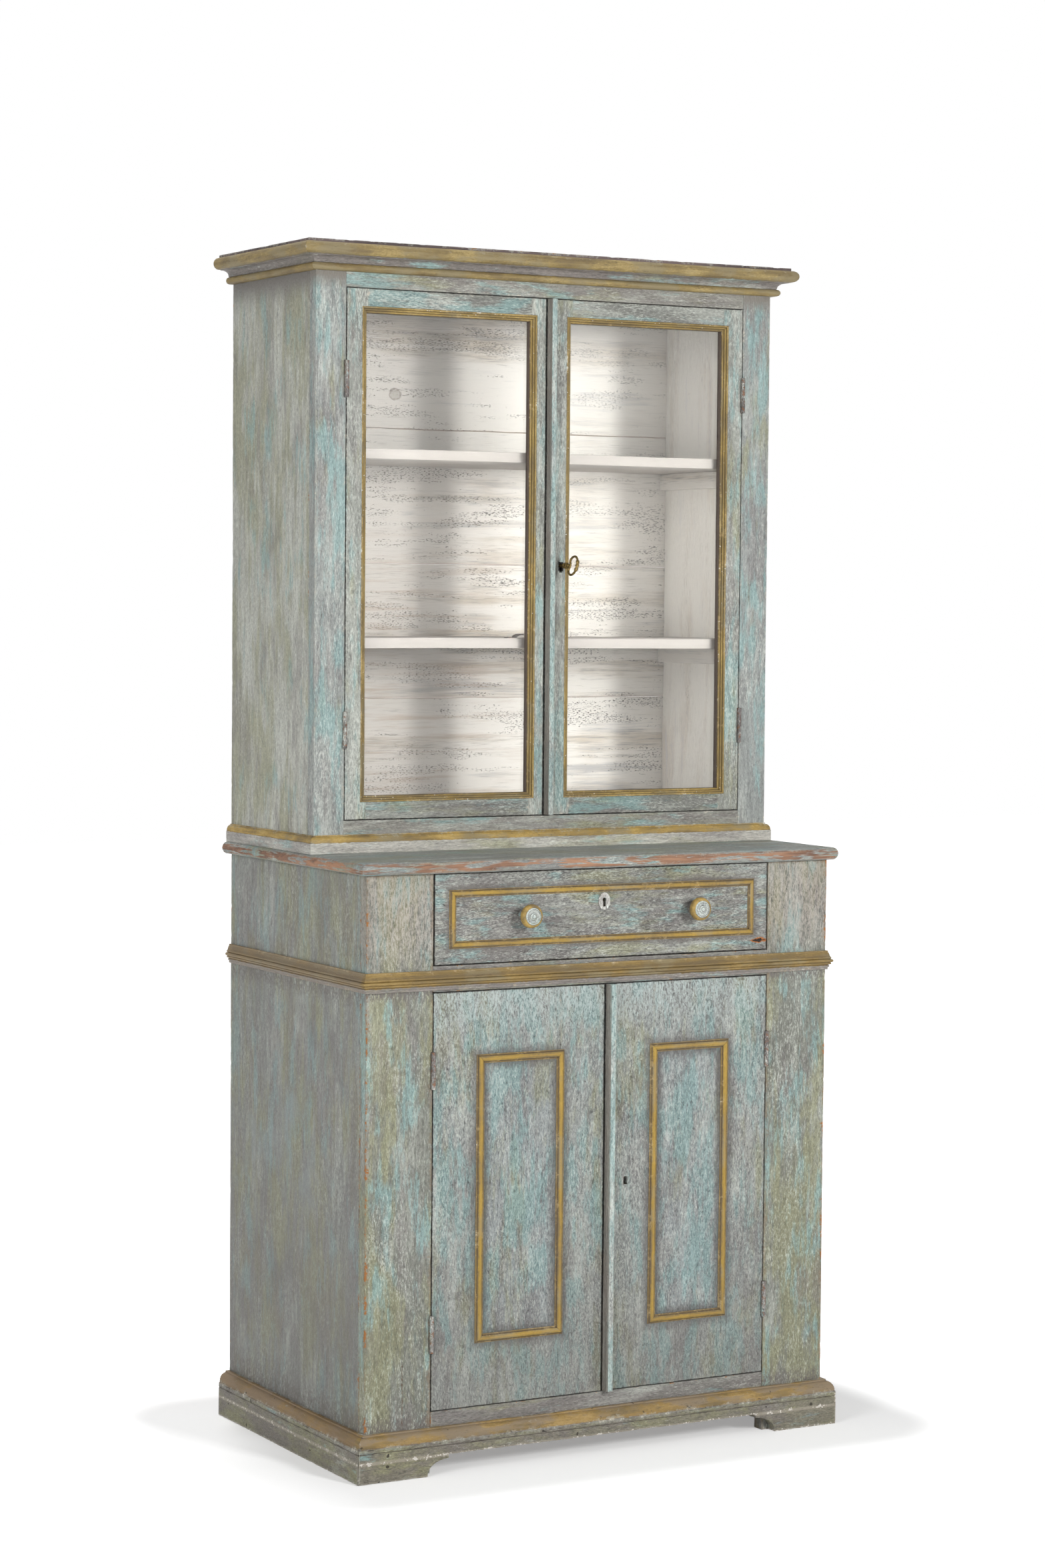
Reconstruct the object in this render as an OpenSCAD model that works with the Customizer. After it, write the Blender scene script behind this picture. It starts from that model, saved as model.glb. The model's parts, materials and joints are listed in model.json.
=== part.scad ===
// A painted sideboard with a glazed hutch, made in two cases that stack.
// X is the width, the front faces -Y and Z is up. The origin is on the floor,
// in the middle of the width and of the whole depth, drawer knobs included.

/* [Cases] */
// Width of both cases over their side boards
case_w = 925; // [880:1:980]
// Depth of the lower case from face frame to back
lower_d = 551; // [500:1:600]
// Depth of the glazed upper case
upper_d = 343; // [300:1:400]
// Height of the lower case, floor to underside of the table top
lower_h = 1026; // [980:1:1080]
// Height of the upper case, table top to underside of its top board
upper_h = 1040; // [1000:1:1100]

/* [Boards] */
// Thickness of the side boards
side_t = 22; // [18:0.5:26]
// Thickness of the face frames and the doors
frame_t = 24; // [22:0.5:28]
// Thickness of the back boards
back_t = 15; // [12:0.5:18]
// Width of the rebate that the back boards' ends lie in
rebate_w = 10; // [6:0.5:14]
// Thickness of the floors of the two cases
deck_t = 20; // [16:0.5:24]
// Height of each floor above its rail, where it stops the doors
stop_h = 6; // [4:0.5:10]
// Thickness of the shelves
shelf_t = 18; // [15:0.5:22]
// Thickness of the table top
table_t = 22; // [18:0.5:28]
// Overhang of the table top at the front and the sides
table_over = 18; // [12:1:24]
// Thickness of the board that closes the upper case
top_board_t = 12; // [10:0.5:14]

/* [Lower front] */
// Width of the lower case's stiles
lower_stile_w = 125.5; // [110:0.5:140]
// Height of the drawer opening
drawer_h = 158; // [140:1:180]
// Height of the rail between the drawer and the doors
drawer_rail_h = 44; // [40:1:52]
// Height of the bottom rail's upper edge above the floor
lower_rail_z = 105.5; // [95:0.5:120]
// Height of the lower case's shelf above the floor
lower_shelf_z = 470; // [380:5:560]
// Depth of the lower case's shelf
lower_shelf_d = 330; // [250:5:420]

/* [Upper front] */
// Width of the upper case's stiles
upper_stile_w = 57.5; // [50:0.5:66]
// Height of the upper case's bottom rail
upper_rail_h = 56; // [48:1:66]
// Height of the upper case's top rail
head_rail_h = 64.5; // [56:0.5:76]
// Height of the middle shelf above the table top
middle_shelf_z = 372; // [300:1:450]
// Height of the top shelf above the table top
top_shelf_z = 702; // [640:1:780]
// How far the glazed shelves stay behind the doors
shelf_set_back = 8; // [6:1:60]
// Height of the lowest back board of the upper case
first_back_h = 258; // [220:1:290]
// Height of the back boards above it
back_board_h = 248; // [200:1:258]
// Thickness of the strips under the shelves' ends
cleat_t = 12; // [8:1:16]
// Height of the strips under the shelves' ends
cleat_h = 31; // [22:1:40]

/* [Doors] */
// Gap round each door in its opening
door_gap = 1.5; // [1.2:0.1:2.5]
// Gap between the two doors of a pair
meeting_gap = 3.2; // [2.8:0.1:5]
// Middle of the gap between the glazed doors
upper_seam_x = -8.5; // [-15:0.5:15]
// Middle of the gap between the lower doors
lower_seam_x = 1.8; // [-10:0.1:10]
// Width of the glazed doors' stiles and rails over the reeded edge
sash_w = 41; // [37:0.5:46]
// Width of the left glazed door's meeting stile
left_meeting_w = 28.5; // [26:0.5:34]
// Width of the right glazed door's meeting stile, which holds the lock
right_meeting_w = 51; // [50.5:0.5:58]
// Width of the reeded glazing moulding
reed_w = 11; // [9:0.5:13]
// Depth of the reeded glazing moulding
reed_d = 8.5; // [7:0.5:10]
// Depth of the glass behind the door's face
glass_y = 17.5; // [15:0.5:18]
// Thickness of the glass
glass_t = 2.5; // [2:0.5:3]
// Width of the rebate that holds the glass
glass_lap = 8; // [6:0.5:8.5]
// Width of the strip along each right door's meeting edge
strip_w = 14; // [12:0.5:18]
// How far that strip stands out from the upper doors
upper_strip_out = 12; // [9:0.5:14]
// How far that strip stands out from the lower doors
lower_strip_out = 14; // [9:0.5:16]

/* [Lower door panels] */
// Width of the bead laid round each lower door's panel
panel_bead_w = 15.5; // [12:0.5:18]
// Distance of that bead from the door's top and bottom edges
panel_end = 109; // [90:1:130]
// Distance of the left door's bead from its hinge edge
left_panel_hinge = 83.5; // [70:0.5:95]
// Distance of the left door's bead from its meeting edge
left_panel_meet = 79.5; // [70:0.5:95]
// Distance of the right door's bead from its hinge edge
right_panel_hinge = 79.5; // [70:0.5:95]
// Distance of the right door's bead from its meeting edge
right_panel_meet = 90.5; // [75:0.5:100]
// Height of the lower doors' keyhole above the floor
lower_key_z = 478; // [400:1:560]
// Distance of that keyhole from the door's meeting edge
lower_backset = 43; // [38:0.5:48]

/* [Drawer] */
// Gap at each side of the drawer front
drawer_side_gap = 2.5; // [1.5:0.5:4]
// Gap under and over the drawer front
drawer_gap = 1.8; // [1.2:0.1:3]
// Thickness of the drawer's sides and back
drawer_side_t = 12; // [10:0.5:16]
// Thickness of the drawer's bottom
drawer_bottom_t = 8; // [6:0.5:10]
// Room left between the drawer and the back boards
drawer_back_room = 34; // [20:1:80]
// Width of the bead laid on the drawer front
drawer_bead_w = 13; // [10:0.5:14]
// Distance of that bead from the ends of the drawer front
drawer_bead_end = 28; // [20:0.5:40]
// Distance of that bead from the lower edge of the drawer opening
drawer_bead_low = 28.5; // [20:0.5:36]
// Distance of that bead from the table top
drawer_bead_high = 29; // [22:0.5:30]
// Distance between the two knobs
knob_spacing = 340; // [280:1:400]
// Shift of the pair of knobs from the middle line
knob_shift = 9; // [-12:1:12]
// Height of the knobs above the lower edge of the drawer opening
knob_z = 81; // [70:1:90]
// How far the knobs stand out
knob_out = 38; // [30:1:46]
// Radius of the knobs' rims
knob_r = 20.5; // [16:0.5:23]
// Distance of the drawer's keyhole below the table top
drawer_key_drop = 56; // [55:1:62]
// Place of the drawer's keyhole from the middle line
drawer_key_x = -2.5; // [-10:0.5:10]

/* [Mouldings] */
// Overhang of the cornice
cornice_out = 39; // [34:0.5:46]
// How far the cornice hangs below the upper case's top
cornice_drop = 39; // [34:0.5:46]
// Overhang of the moulding round the foot of the upper case
base_out = 10; // [8:0.5:13]
// Height of the moulding round the foot of the upper case
base_h = 32; // [28:0.5:38]
// Overhang of the moulding round the waist of the lower case
waist_out = 11; // [9:0.5:14]
// Height of the waist moulding
waist_h = 34; // [32:0.5:38]
// Thickness of the plinth boards, which is also their overhang
plinth_out = 21; // [17:0.5:25]
// Height of the plinth boards
plinth_h = 58; // [50:0.5:66]
// Height of the moulding on the plinth boards
plinth_cap_h = 22; // [18:0.5:26]
// Height of the cut-out between the bracket feet
arch_h = 35; // [28:0.5:40]
// Length of each bracket foot along the front
foot_l = 132; // [110:1:160]

/* [Hinges and locks] */
// Length of each hinge
hinge_l = 64; // [50:1:76]
// Radius of the hinges' knuckles
knuckle_r = 4; // [3.6:0.1:4.5]
// Radius of the hinge pins
hinge_pin_r = 1.8; // [1.4:0.1:2.1]
// Running clearance round the pins
pin_fit = 0.05; // [0.02:0.01:0.1]
// How far the pins' axis stands in front of the doors
hinge_proud = 2.5; // [2:0.1:3.2]
// Length of the leaves behind the pin
leaf_l = 20; // [16:0.5:21]
// Thickness of the leaves
leaf_t = 1.6; // [1.2:0.1:2]
// Distance of the upper doors' hinges from the ends of the door
upper_hinge_end = 124; // [90:1:180]
// Distance of the lower doors' hinges from the ends of the door
lower_hinge_end = 100; // [80:1:160]
// Height of the key above the table top
key_z = 502; // [460:1:560]
// Distance of the upper keyhole from the door's meeting edge
upper_backset = 31; // [27:0.5:31.5]
// Depth of the lock cases
lock_d = 14; // [13:0.5:15]
// Travel of the bolts
bolt_throw = 10; // [8:0.5:11]
// Turn of the key from upright, in degrees
key_tilt = 13; // [0:1:30]
// Radius of the key's shank
shank_r = 2.5; // [2:0.1:2.8]
// Height of the key's bit beyond the shank
bit_h = 6.5; // [5.5:0.1:6.9]

/* [Hidden] */
$fn = 48;

paint = "#8f9c96";
ochre = "#b08d3c";
chalk = "#e4ded6";
bare = "#a98358";
iron = "#4a4642";
brass = "#8a6f3c";

// Clearance between pieces that move past each other
run_gap = 0.3;
// Hairline left where two pieces of one frame or moulding are glued
seam = 0.1;
// Gap that has opened between the back boards
board_gap = 0.8;
// A length longer than the whole piece, for cutting
far = 3000;

// Depths: where the backs and the two fronts lie
back_y = (lower_d + knob_out) / 2;
lower_y = back_y - lower_d;
upper_y = back_y - upper_d;
half_w = case_w / 2;
inner_x = half_w - side_t;
board_x = inner_x + rebate_w;
inner_back_y = back_y - back_t;

// Heights of the lower case's front, from the floor
drawer_z = lower_h - drawer_h;
lower_door_top = drawer_z - drawer_rail_h;
waist_z = lower_door_top + (drawer_rail_h - waist_h) / 3;
lower_opening_x = half_w - lower_stile_w;
rail_foot_z = arch_h + 2;
lower_deck_top = lower_rail_z + stop_h;

// Heights of the upper case's front, from the floor
table_z = lower_h + table_t;
case_top = table_z + upper_h;
upper_door_low = table_z + upper_rail_h;
upper_door_top = case_top - head_rail_h;
upper_opening_x = half_w - upper_stile_w;
upper_deck_top = upper_door_low + stop_h;
cornice_rise = 7;
bull_r = 10.5;

// Edges of the doors
upper_left_edge = [-upper_opening_x + door_gap, upper_seam_x - meeting_gap / 2];
upper_right_edge = [upper_seam_x + meeting_gap / 2, upper_opening_x - door_gap];
lower_left_edge = [-lower_opening_x + door_gap, lower_seam_x - meeting_gap / 2];
lower_right_edge = [lower_seam_x + meeting_gap / 2, lower_opening_x - door_gap];
upper_door_z = [upper_door_low + door_gap, upper_door_top - door_gap];
lower_door_z = [lower_rail_z + door_gap, lower_door_top - door_gap];

// Hinges: the axis of each pin and the heights of each pair
upper_pin_x = upper_opening_x - door_gap / 2;
lower_pin_x = lower_opening_x - door_gap / 2;
upper_pin_y = upper_y - hinge_proud;
lower_pin_y = lower_y - hinge_proud;
upper_hinge_z = [upper_door_z[0] + upper_hinge_end, upper_door_z[1] - upper_hinge_end - hinge_l];
lower_hinge_z = [lower_door_z[0] + lower_hinge_end, lower_door_z[1] - lower_hinge_end - hinge_l];
knuckles = 5;
knuckle_l = hinge_l / knuckles;

// Locks: the wall of a case, the bolt's size and the room round the key's bit
lock_wall = 2;
lock_half_h = 16;
bolt_half_h = 7;
bolt_t = 8;
bit_sweep = shank_r + bit_h;
bolt_tail = bit_sweep + 1.5;
lock_tail = bit_sweep + lock_wall + 0.5;
upper_key = [upper_right_edge[0] + upper_backset, table_z + key_z];
lower_key = [lower_right_edge[0] + lower_backset, lower_key_z];
drawer_key = [drawer_key_x, lower_h - drawer_key_drop];

// Drawer: its front and its box
drawer_x = lower_opening_x - drawer_side_gap;
drawer_front_z = [drawer_z + drawer_gap, lower_h - drawer_gap];
drawer_box_y = [lower_y + frame_t, inner_back_y - drawer_back_room];
drawer_side_top = lower_h - 5;
drawer_backset = drawer_front_z[1] - drawer_key[1];
knob_centre_z = drawer_z + knob_z;
tenon_r = 5;
tenon_l = 18;

// Glazed shelves and the boards of the two backs
glazed_shelf_y = upper_y + frame_t + shelf_set_back;
glazed_shelf_z = [table_z + middle_shelf_z, table_z + top_shelf_z];
back_starts = [0, first_back_h, first_back_h + back_board_h, first_back_h + 2 * back_board_h, upper_h];
lower_back_foot = lower_deck_top - deck_t;
lower_back_count = 4;

// Points along an arc, counter-clockwise where the second angle is the larger
function arc_points(cx, cy, r, from, to, steps = 10) =
    [for (i = [0 : steps]) let (a = from + (to - from) * i / steps) [cx + r * cos(a), cy + r * sin(a)]];

// Points along an ellipse's arc with half axes a and b
function oval_points(cx, cy, a, b, from, to, steps = 10) =
    [for (i = [0 : steps]) let (t = from + (to - from) * i / steps) [cx + a * cos(t), cy + b * sin(t)]];

// Moulding outlines, out from the face and up from the foot

// Bead at the foot, cove, fillet and the large round nose with the top board's seat behind it
function cornice_outline() =
    let (bead_r = 6.25, nose_z = cornice_drop + cornice_rise - bull_r, bead_x = cornice_out - 31.25,
         fillet_x = cornice_out - 14)
    concat([[0, 0]],
        arc_points(bead_x, bead_r, bead_r, -90, 90),
        oval_points(fillet_x - 3, 2 * bead_r + 0.5, 13, nose_z - bull_r - 2 * bead_r - 1.5, 180, 90, 8),
        [[fillet_x, nose_z - bull_r - 1], [fillet_x, nose_z - bull_r]],
        arc_points(cornice_out - bull_r, nose_z, bull_r, -90, 90, 14),
        [[cornice_seat, cornice_drop + cornice_rise], [cornice_seat, cornice_drop], [0, cornice_drop]]);
cornice_seat = cornice_out - bull_r - 0.5;

// Flat fascia with a quarter round over it
function base_outline() =
    let (step_z = base_h - 13)
    concat([[0, 0], [base_out, 0], [base_out, step_z], [base_out - 1, step_z]],
        oval_points(2, step_z + 1, base_out - 3, 10, 0, 90, 8),
        [[2, base_h], [0, base_h]]);

// Reeds that climb to a pointed nose and fall away again
function waist_outline() =
    let (reed_r = 2.2, nose_r = 2.8, nose_z = waist_h / 2 - 1, lower_z = 4 + reed_r)
    concat([[0, 0], [3.5, 0], [3.5, 4]],
        arc_points(3.5, lower_z, reed_r, -90, 90, 6),
        arc_points((3.5 + waist_out - nose_r) / 2, (lower_z + nose_z) / 2, reed_r, -60, 90, 6),
        arc_points(waist_out - nose_r, nose_z, nose_r, -90, 90, 8),
        arc_points(waist_out - 5, nose_z + nose_r + reed_r, reed_r, -90, 70, 6),
        [[4.5, waist_h - 4], [3.5, waist_h - 3], [3.5, waist_h], [0, waist_h]]);

// Quarter round between two small steps
function plinth_outline() =
    concat([[0, 0], [plinth_out, 0], [plinth_out, 1.5], [plinth_out - 1.5, 1.5]],
        oval_points(8, 2.5, plinth_out - 9.5, plinth_cap_h - 5.5, 0, 90, 9),
        [[8, plinth_cap_h], [0, plinth_cap_h]]);

// Half-round bead between two small fillets, laid flat on a door or drawer front
function bead_outline(w) =
    let (fillet_w = w / 9, fillet_out = 1.3)
    concat([[0, 0], [fillet_out, 0], [fillet_out, fillet_w]],
        oval_points(fillet_out, w / 2, w * 0.25, w / 2 - fillet_w, -85, 85, 12),
        [[fillet_out, w - fillet_w], [fillet_out, w], [0, w]]);

// Three reeds down a slope, in the corner between a door's face and its glass
function reed_outline() =
    let (slope = atan2(reed_d, reed_w), long = sqrt(reed_w * reed_w + reed_d * reed_d), r = long / 6)
    concat([for (k = [0 : 2]) for (p = arc_points(0, 0, r * 0.96, 180, 0, 6))
            let (along = r + 2 * r * k + p[0], out = p[1] * 0.8)
            [-reed_d * along / long + out * cos(slope), reed_w * along / long + out * sin(slope)]],
        [[-reed_d, reed_w], [-reed_d, 0]]);

// A box between two corners
module slab(low, high) {
    translate(low)
        cube(high - low);
}

// Everything past a mitre through the origin, for cutting the end of a moulding
module mitre_cut() {
    rotate([0, 0, 45])
        translate([-seam / 2, -far / 2, -far / 2])
            cube(far);
}

// One run of moulding along +X from x = 0, outwards to -Y, with mitred ends where asked
module run(outline, length, mitre_start, mitre_end) {
    difference() {
        mirror([0, 1, 0])
            rotate([90, 0, 90])
                translate([0, 0, mitre_start ? -far / 20 : 0])
                    linear_extrude(length + (mitre_start ? far / 20 : 0) + (mitre_end ? far / 20 : 0))
                        polygon(outline);
        if (mitre_start)
            mirror([1, 0, 0])
                mitre_cut();
        if (mitre_end)
            translate([length, 0, 0])
                mitre_cut();
    }
}

// Front and two side runs of a moulding round a case
module girdle(outline, front_y, z) {
    translate([-half_w, front_y, z])
        run(outline, case_w, true, true);
    translate([half_w, front_y, z])
        rotate([0, 0, 90])
            run(outline, back_y - front_y, true, false);
    translate([-half_w, back_y, z])
        rotate([0, 0, -90])
            run(outline, back_y - front_y, false, true);
}

// One side of a mitred frame that lies on a face: the outer edge is at z = 0
module frame_member(outline, length) {
    difference() {
        translate([-length / 2, 0, 0])
            mirror([0, 1, 0])
                rotate([90, 0, 90])
                    linear_extrude(length)
                        polygon(outline);
        for (side = [0, 1])
            mirror([side, 0, 0])
                translate([length / 2, 0, 0])
                    rotate([90, 0, 0])
                        mitre_cut();
    }
}

// Four mitred lengths round a rectangle, between two corners on the face y
module mitred_frame(outline, x, z, y) {
    translate([(x[0] + x[1]) / 2, y, (z[0] + z[1]) / 2]) {
        for (side = [0, 1])
            mirror([0, 0, side])
                translate([0, 0, -(z[1] - z[0]) / 2])
                    frame_member(outline, x[1] - x[0]);
        for (side = [0, 1])
            mirror([side, 0, 0])
                translate([-(x[1] - x[0]) / 2, 0, 0])
                    rotate([0, 90, 0])
                        frame_member(outline, z[1] - z[0]);
    }
}

// Both signs of X, the left one as drawn
module both_sides() {
    for (side = [0, 1])
        mirror([side, 0, 0])
            children();
}

// Side boards, stiles and rails of the two cases
module side_board(front_y, foot_z, head_z) {
    difference() {
        slab([-half_w, front_y + frame_t, foot_z], [-inner_x, back_y, head_z]);
        slab([-board_x, inner_back_y, foot_z - 1], [-inner_x + 1, back_y + 1, head_z + 1]);
    }
}

module lower_side_left() {
    color(paint)
        side_board(lower_y, 0, lower_h);
}

module lower_side_right() {
    color(paint)
        mirror([1, 0, 0])
            side_board(lower_y, 0, lower_h);
}

module upper_side_left() {
    color(paint)
        side_board(upper_y, table_z, case_top);
}

module upper_side_right() {
    color(paint)
        mirror([1, 0, 0])
            side_board(upper_y, table_z, case_top);
}

module lower_stiles() {
    color(paint)
        both_sides()
            difference() {
                slab([-half_w, lower_y, 0], [-lower_opening_x, lower_y + frame_t, lower_h]);
                for (z = lower_hinge_z)
                    hinge_seat(-lower_pin_x, lower_pin_y, z, -1);
            }
}

module upper_stiles() {
    color(paint)
        both_sides()
            difference() {
                slab([-half_w, upper_y, table_z], [-upper_opening_x, upper_y + frame_t, case_top]);
                for (z = upper_hinge_z)
                    hinge_seat(-upper_pin_x, upper_pin_y, z, -1);
            }
}

module lower_rails() {
    color(paint) {
        slab([-lower_opening_x, lower_y, lower_door_top], [lower_opening_x, lower_y + frame_t, drawer_z]);
        slab([-lower_opening_x, lower_y, rail_foot_z], [lower_opening_x, lower_y + frame_t, lower_rail_z]);
    }
}

module upper_rails() {
    color(paint) {
        slab([-upper_opening_x, upper_y, table_z], [upper_opening_x, upper_y + frame_t, upper_door_low]);
        slab([-upper_opening_x, upper_y, upper_door_top], [upper_opening_x, upper_y + frame_t, case_top]);
    }
}

// Floors, shelves and the strips that carry the shelves
module deck(front_y, top_z) {
    slab([-inner_x, front_y + frame_t + run_gap, top_z - deck_t], [inner_x, inner_back_y, top_z]);
}

module lower_deck() {
    color(chalk)
        deck(lower_y, lower_deck_top);
}

module upper_deck() {
    color(chalk)
        deck(upper_y, upper_deck_top);
}

module lower_shelf() {
    color(chalk)
        slab([-inner_x, inner_back_y - lower_shelf_d, lower_shelf_z - shelf_t],
             [inner_x, inner_back_y, lower_shelf_z]);
}

module upper_shelves() {
    color(chalk)
        for (z = glazed_shelf_z)
            slab([-inner_x, glazed_shelf_y, z - shelf_t], [inner_x, inner_back_y, z]);
}

module cleat(front_y, top_z) {
    slab([-inner_x, front_y, top_z - cleat_h], [-inner_x + cleat_t, inner_back_y, top_z]);
}

module shelf_cleats() {
    color(chalk)
        both_sides() {
            for (z = glazed_shelf_z)
                cleat(glazed_shelf_y + cleat_t, z - shelf_t);
            cleat(inner_back_y - lower_shelf_d + cleat_t, lower_shelf_z - shelf_t);
        }
}

// Horizontal boards that close the backs
module lower_back_boards() {
    board_h = (lower_h - lower_back_foot) / lower_back_count;
    color(chalk)
        for (k = [0 : lower_back_count - 1])
            slab([-board_x, inner_back_y, lower_back_foot + k * board_h],
                 [board_x, back_y, lower_back_foot + (k + 1) * board_h - board_gap]);
}

module upper_back_boards() {
    color(chalk)
        for (k = [0 : len(back_starts) - 2])
            slab([-board_x, inner_back_y, table_z + back_starts[k]],
                 [board_x, back_y, table_z + back_starts[k + 1] - board_gap]);
}

// Runners under the drawer's sides, with the guides that keep it straight
module drawer_runners() {
    runner_w = 36;
    guide_h = 30;
    color(bare)
        both_sides() {
            slab([-inner_x, lower_y + frame_t, drawer_z - deck_t],
                 [-lower_opening_x + runner_w, inner_back_y, drawer_z]);
            slab([-inner_x, lower_y + frame_t, drawer_z], [-lower_opening_x, inner_back_y, drawer_z + guide_h]);
        }
}

// Mouldings round the cases
module cornice_moulding() {
    color(ochre)
        girdle(cornice_outline(), upper_y, case_top - cornice_drop);
}

module base_moulding() {
    color(ochre)
        girdle(base_outline(), upper_y, table_z);
}

module waist_moulding() {
    color(ochre)
        girdle(waist_outline(), lower_y, waist_z);
}

module plinth_moulding() {
    color(ochre)
        girdle(plinth_outline(), lower_y, plinth_h);
}

// Half of the outline cut between the bracket feet: a quarter curve between two small steps
function arch_outline() =
    let (foot_x = half_w + plinth_out - foot_l, curve_w = 41, curve_foot = 3, step_h = 7)
    concat([[0, -1], [foot_x, -1], [foot_x, curve_foot]],
        oval_points(foot_x - curve_w, curve_foot, curve_w, arch_h - step_h - curve_foot, 0, 90, 12),
        [[foot_x - curve_w, arch_h], [0, arch_h]]);

// Board with a fine groove scratched below its top
function plinth_board_outline() =
    let (groove_z = plinth_h - 7, groove_d = 1.2)
    [[0, 0], [plinth_out, 0], [plinth_out, groove_z - 1], [plinth_out - groove_d, groove_z],
     [plinth_out, groove_z + 1], [plinth_out, plinth_h], [0, plinth_h]];

module plinth_boards() {
    color(paint)
        difference() {
            girdle(plinth_board_outline(), lower_y, 0);
            both_sides()
                translate([0, lower_y + 1, 0])
                    rotate([90, 0, 0])
                        linear_extrude(plinth_out + 2)
                            polygon(arch_outline());
        }
}

// Table top with a round edge on three sides
module table_top() {
    edge_r = table_t / 2;
    edge_x = half_w + table_over - edge_r;
    edge_y = lower_y - table_over + edge_r;
    pocket_h = bolt_throw - drawer_gap + 1.5;
    color(paint)
        difference() {
            union() {
                slab([-edge_x, edge_y, lower_h], [edge_x, back_y, table_z]);
                translate([-edge_x, edge_y, lower_h + edge_r])
                    rotate([0, 90, 0])
                        cylinder(r = edge_r, h = 2 * edge_x);
                both_sides()
                    translate([-edge_x, edge_y, lower_h + edge_r]) {
                        rotate([-90, 0, 0])
                            cylinder(r = edge_r, h = back_y - edge_y);
                        sphere(r = edge_r);
                    }
            }
            slab([drawer_key[0] - bolt_half_h - run_gap, bolt_y(lower_y) - bolt_t / 2 - run_gap, lower_h - 1],
                 [drawer_key[0] + bolt_half_h + run_gap, bolt_y(lower_y) + bolt_t / 2 + run_gap,
                  lower_h + pocket_h]);
        }
}

module cornice_board() {
    color("#4b403c")
        slab([-half_w - cornice_seat, upper_y - cornice_seat, case_top],
             [half_w + cornice_seat, back_y, case_top + top_board_t]);
}

// Middle of a bolt's thickness behind a front face
function bolt_y(front_y) = front_y + frame_t - lock_d / 2;

// Room for one hinge leaf and its knuckles: side is -1 for a stile and 1 for a door
module hinge_seat(x, pin_y, z, side) {
    seat_w = door_gap / 2 + leaf_t;
    translate([x, pin_y, z]) {
        translate([side < 0 ? -seat_w : 0, 0, 0])
            cube([seat_w, leaf_l, hinge_l]);
        translate([0, 0, -run_gap])
            cylinder(r = knuckle_r + run_gap, h = hinge_l + 2 * run_gap);
    }
}

// One leaf of a hinge whose pin stands at x = 0, y = 0
module hinge_leaf(side, first) {
    plate_x = side < 0 ? -door_gap / 2 - leaf_t : door_gap / 2;
    difference() {
        union() {
            translate([plate_x, knuckle_r + 2 * run_gap, 0])
                cube([leaf_t, leaf_l - knuckle_r - 2 * run_gap, hinge_l]);
            for (k = [first : 2 : knuckles - 1])
                translate([0, 0, k * knuckle_l + run_gap / 2]) {
                    cylinder(r = knuckle_r, h = knuckle_l - run_gap);
                    translate([plate_x, 0, 0])
                        cube([leaf_t, knuckle_r + 2 * run_gap + 0.1, knuckle_l - run_gap]);
                }
        }
        translate([0, 0, -1])
            cylinder(r = hinge_pin_r + pin_fit, h = hinge_l + 2);
    }
}

// Two leaves on a door's hinge edge, the left door as drawn
module door_leaves(pin_x, pin_y, heights) {
    color(iron)
        for (z = heights)
            translate([-pin_x, pin_y, z])
                hinge_leaf(1, 1);
}

module case_hinge_leaves() {
    color(iron)
        both_sides() {
            for (z = upper_hinge_z)
                translate([-upper_pin_x, upper_pin_y, z])
                    hinge_leaf(-1, 0);
            for (z = lower_hinge_z)
                translate([-lower_pin_x, lower_pin_y, z])
                    hinge_leaf(-1, 0);
        }
}

module hinge_pins() {
    color(iron)
        both_sides() {
            for (z = upper_hinge_z)
                translate([-upper_pin_x, upper_pin_y, z])
                    cylinder(r = hinge_pin_r, h = hinge_l);
            for (z = lower_hinge_z)
                translate([-lower_pin_x, lower_pin_y, z])
                    cylinder(r = hinge_pin_r, h = hinge_l);
        }
}

// Bent iron strap screwed to the middle shelf behind the left door's meeting stile
module shelf_catch() {
    strap_t = 1.6;
    strap_w = 16;
    rise = 8;
    catch_x = upper_left_edge[1] - left_meeting_w - 25;
    outer = concat([[0, 0], [0, strap_t], [12, strap_t]],
        oval_points(30, strap_t, 14, rise - strap_t, 180, 90, 8),
        [[42, rise], [42, rise - strap_t]],
        oval_points(30, 0, 12.4, rise - strap_t, 90, 180, 8));
    color(iron)
        translate([catch_x, glazed_shelf_y + 2 + strap_w, glazed_shelf_z[0]])
            rotate([90, 0, 0])
                linear_extrude(strap_w)
                    polygon(outer);
}

// Keyhole along Y: a round for the shank over a slot for the bit
module keyhole(key, y, depth, bulb_r, slot_w, drop) {
    translate([key[0], y + depth, key[1]])
        rotate([90, 0, 0]) {
            cylinder(r = bulb_r, h = depth);
            translate([-slot_w / 2, -drop, 0])
                cube([slot_w, drop, depth]);
        }
}

// Sash of a glazed door: a rebated ring, cut apart below into two stiles and two rails
module sash_ring(x, z, left_w, right_w, face_y) {
    face = [x[0] + left_w - reed_w, z[0] + sash_w - reed_w, x[1] - right_w + reed_w, z[1] - sash_w + reed_w];
    sight = [face[0] + reed_w, face[1] + reed_w, face[2] - reed_w, face[3] - reed_w];
    lap = [sight[0] - glass_lap, sight[1] - glass_lap, sight[2] + glass_lap, sight[3] + glass_lap];
    difference() {
        slab([x[0], face_y, z[0]], [x[1], face_y + frame_t, z[1]]);
        slab([face[0], face_y - 1, face[1]], [face[2], face_y + reed_d, face[3]]);
        slab([sight[0], face_y - 1, sight[1]], [sight[2], face_y + frame_t + 1, sight[3]]);
        slab([lap[0], face_y + glass_y, lap[1]], [lap[2], face_y + frame_t + 1, lap[3]]);
    }
}

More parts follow.
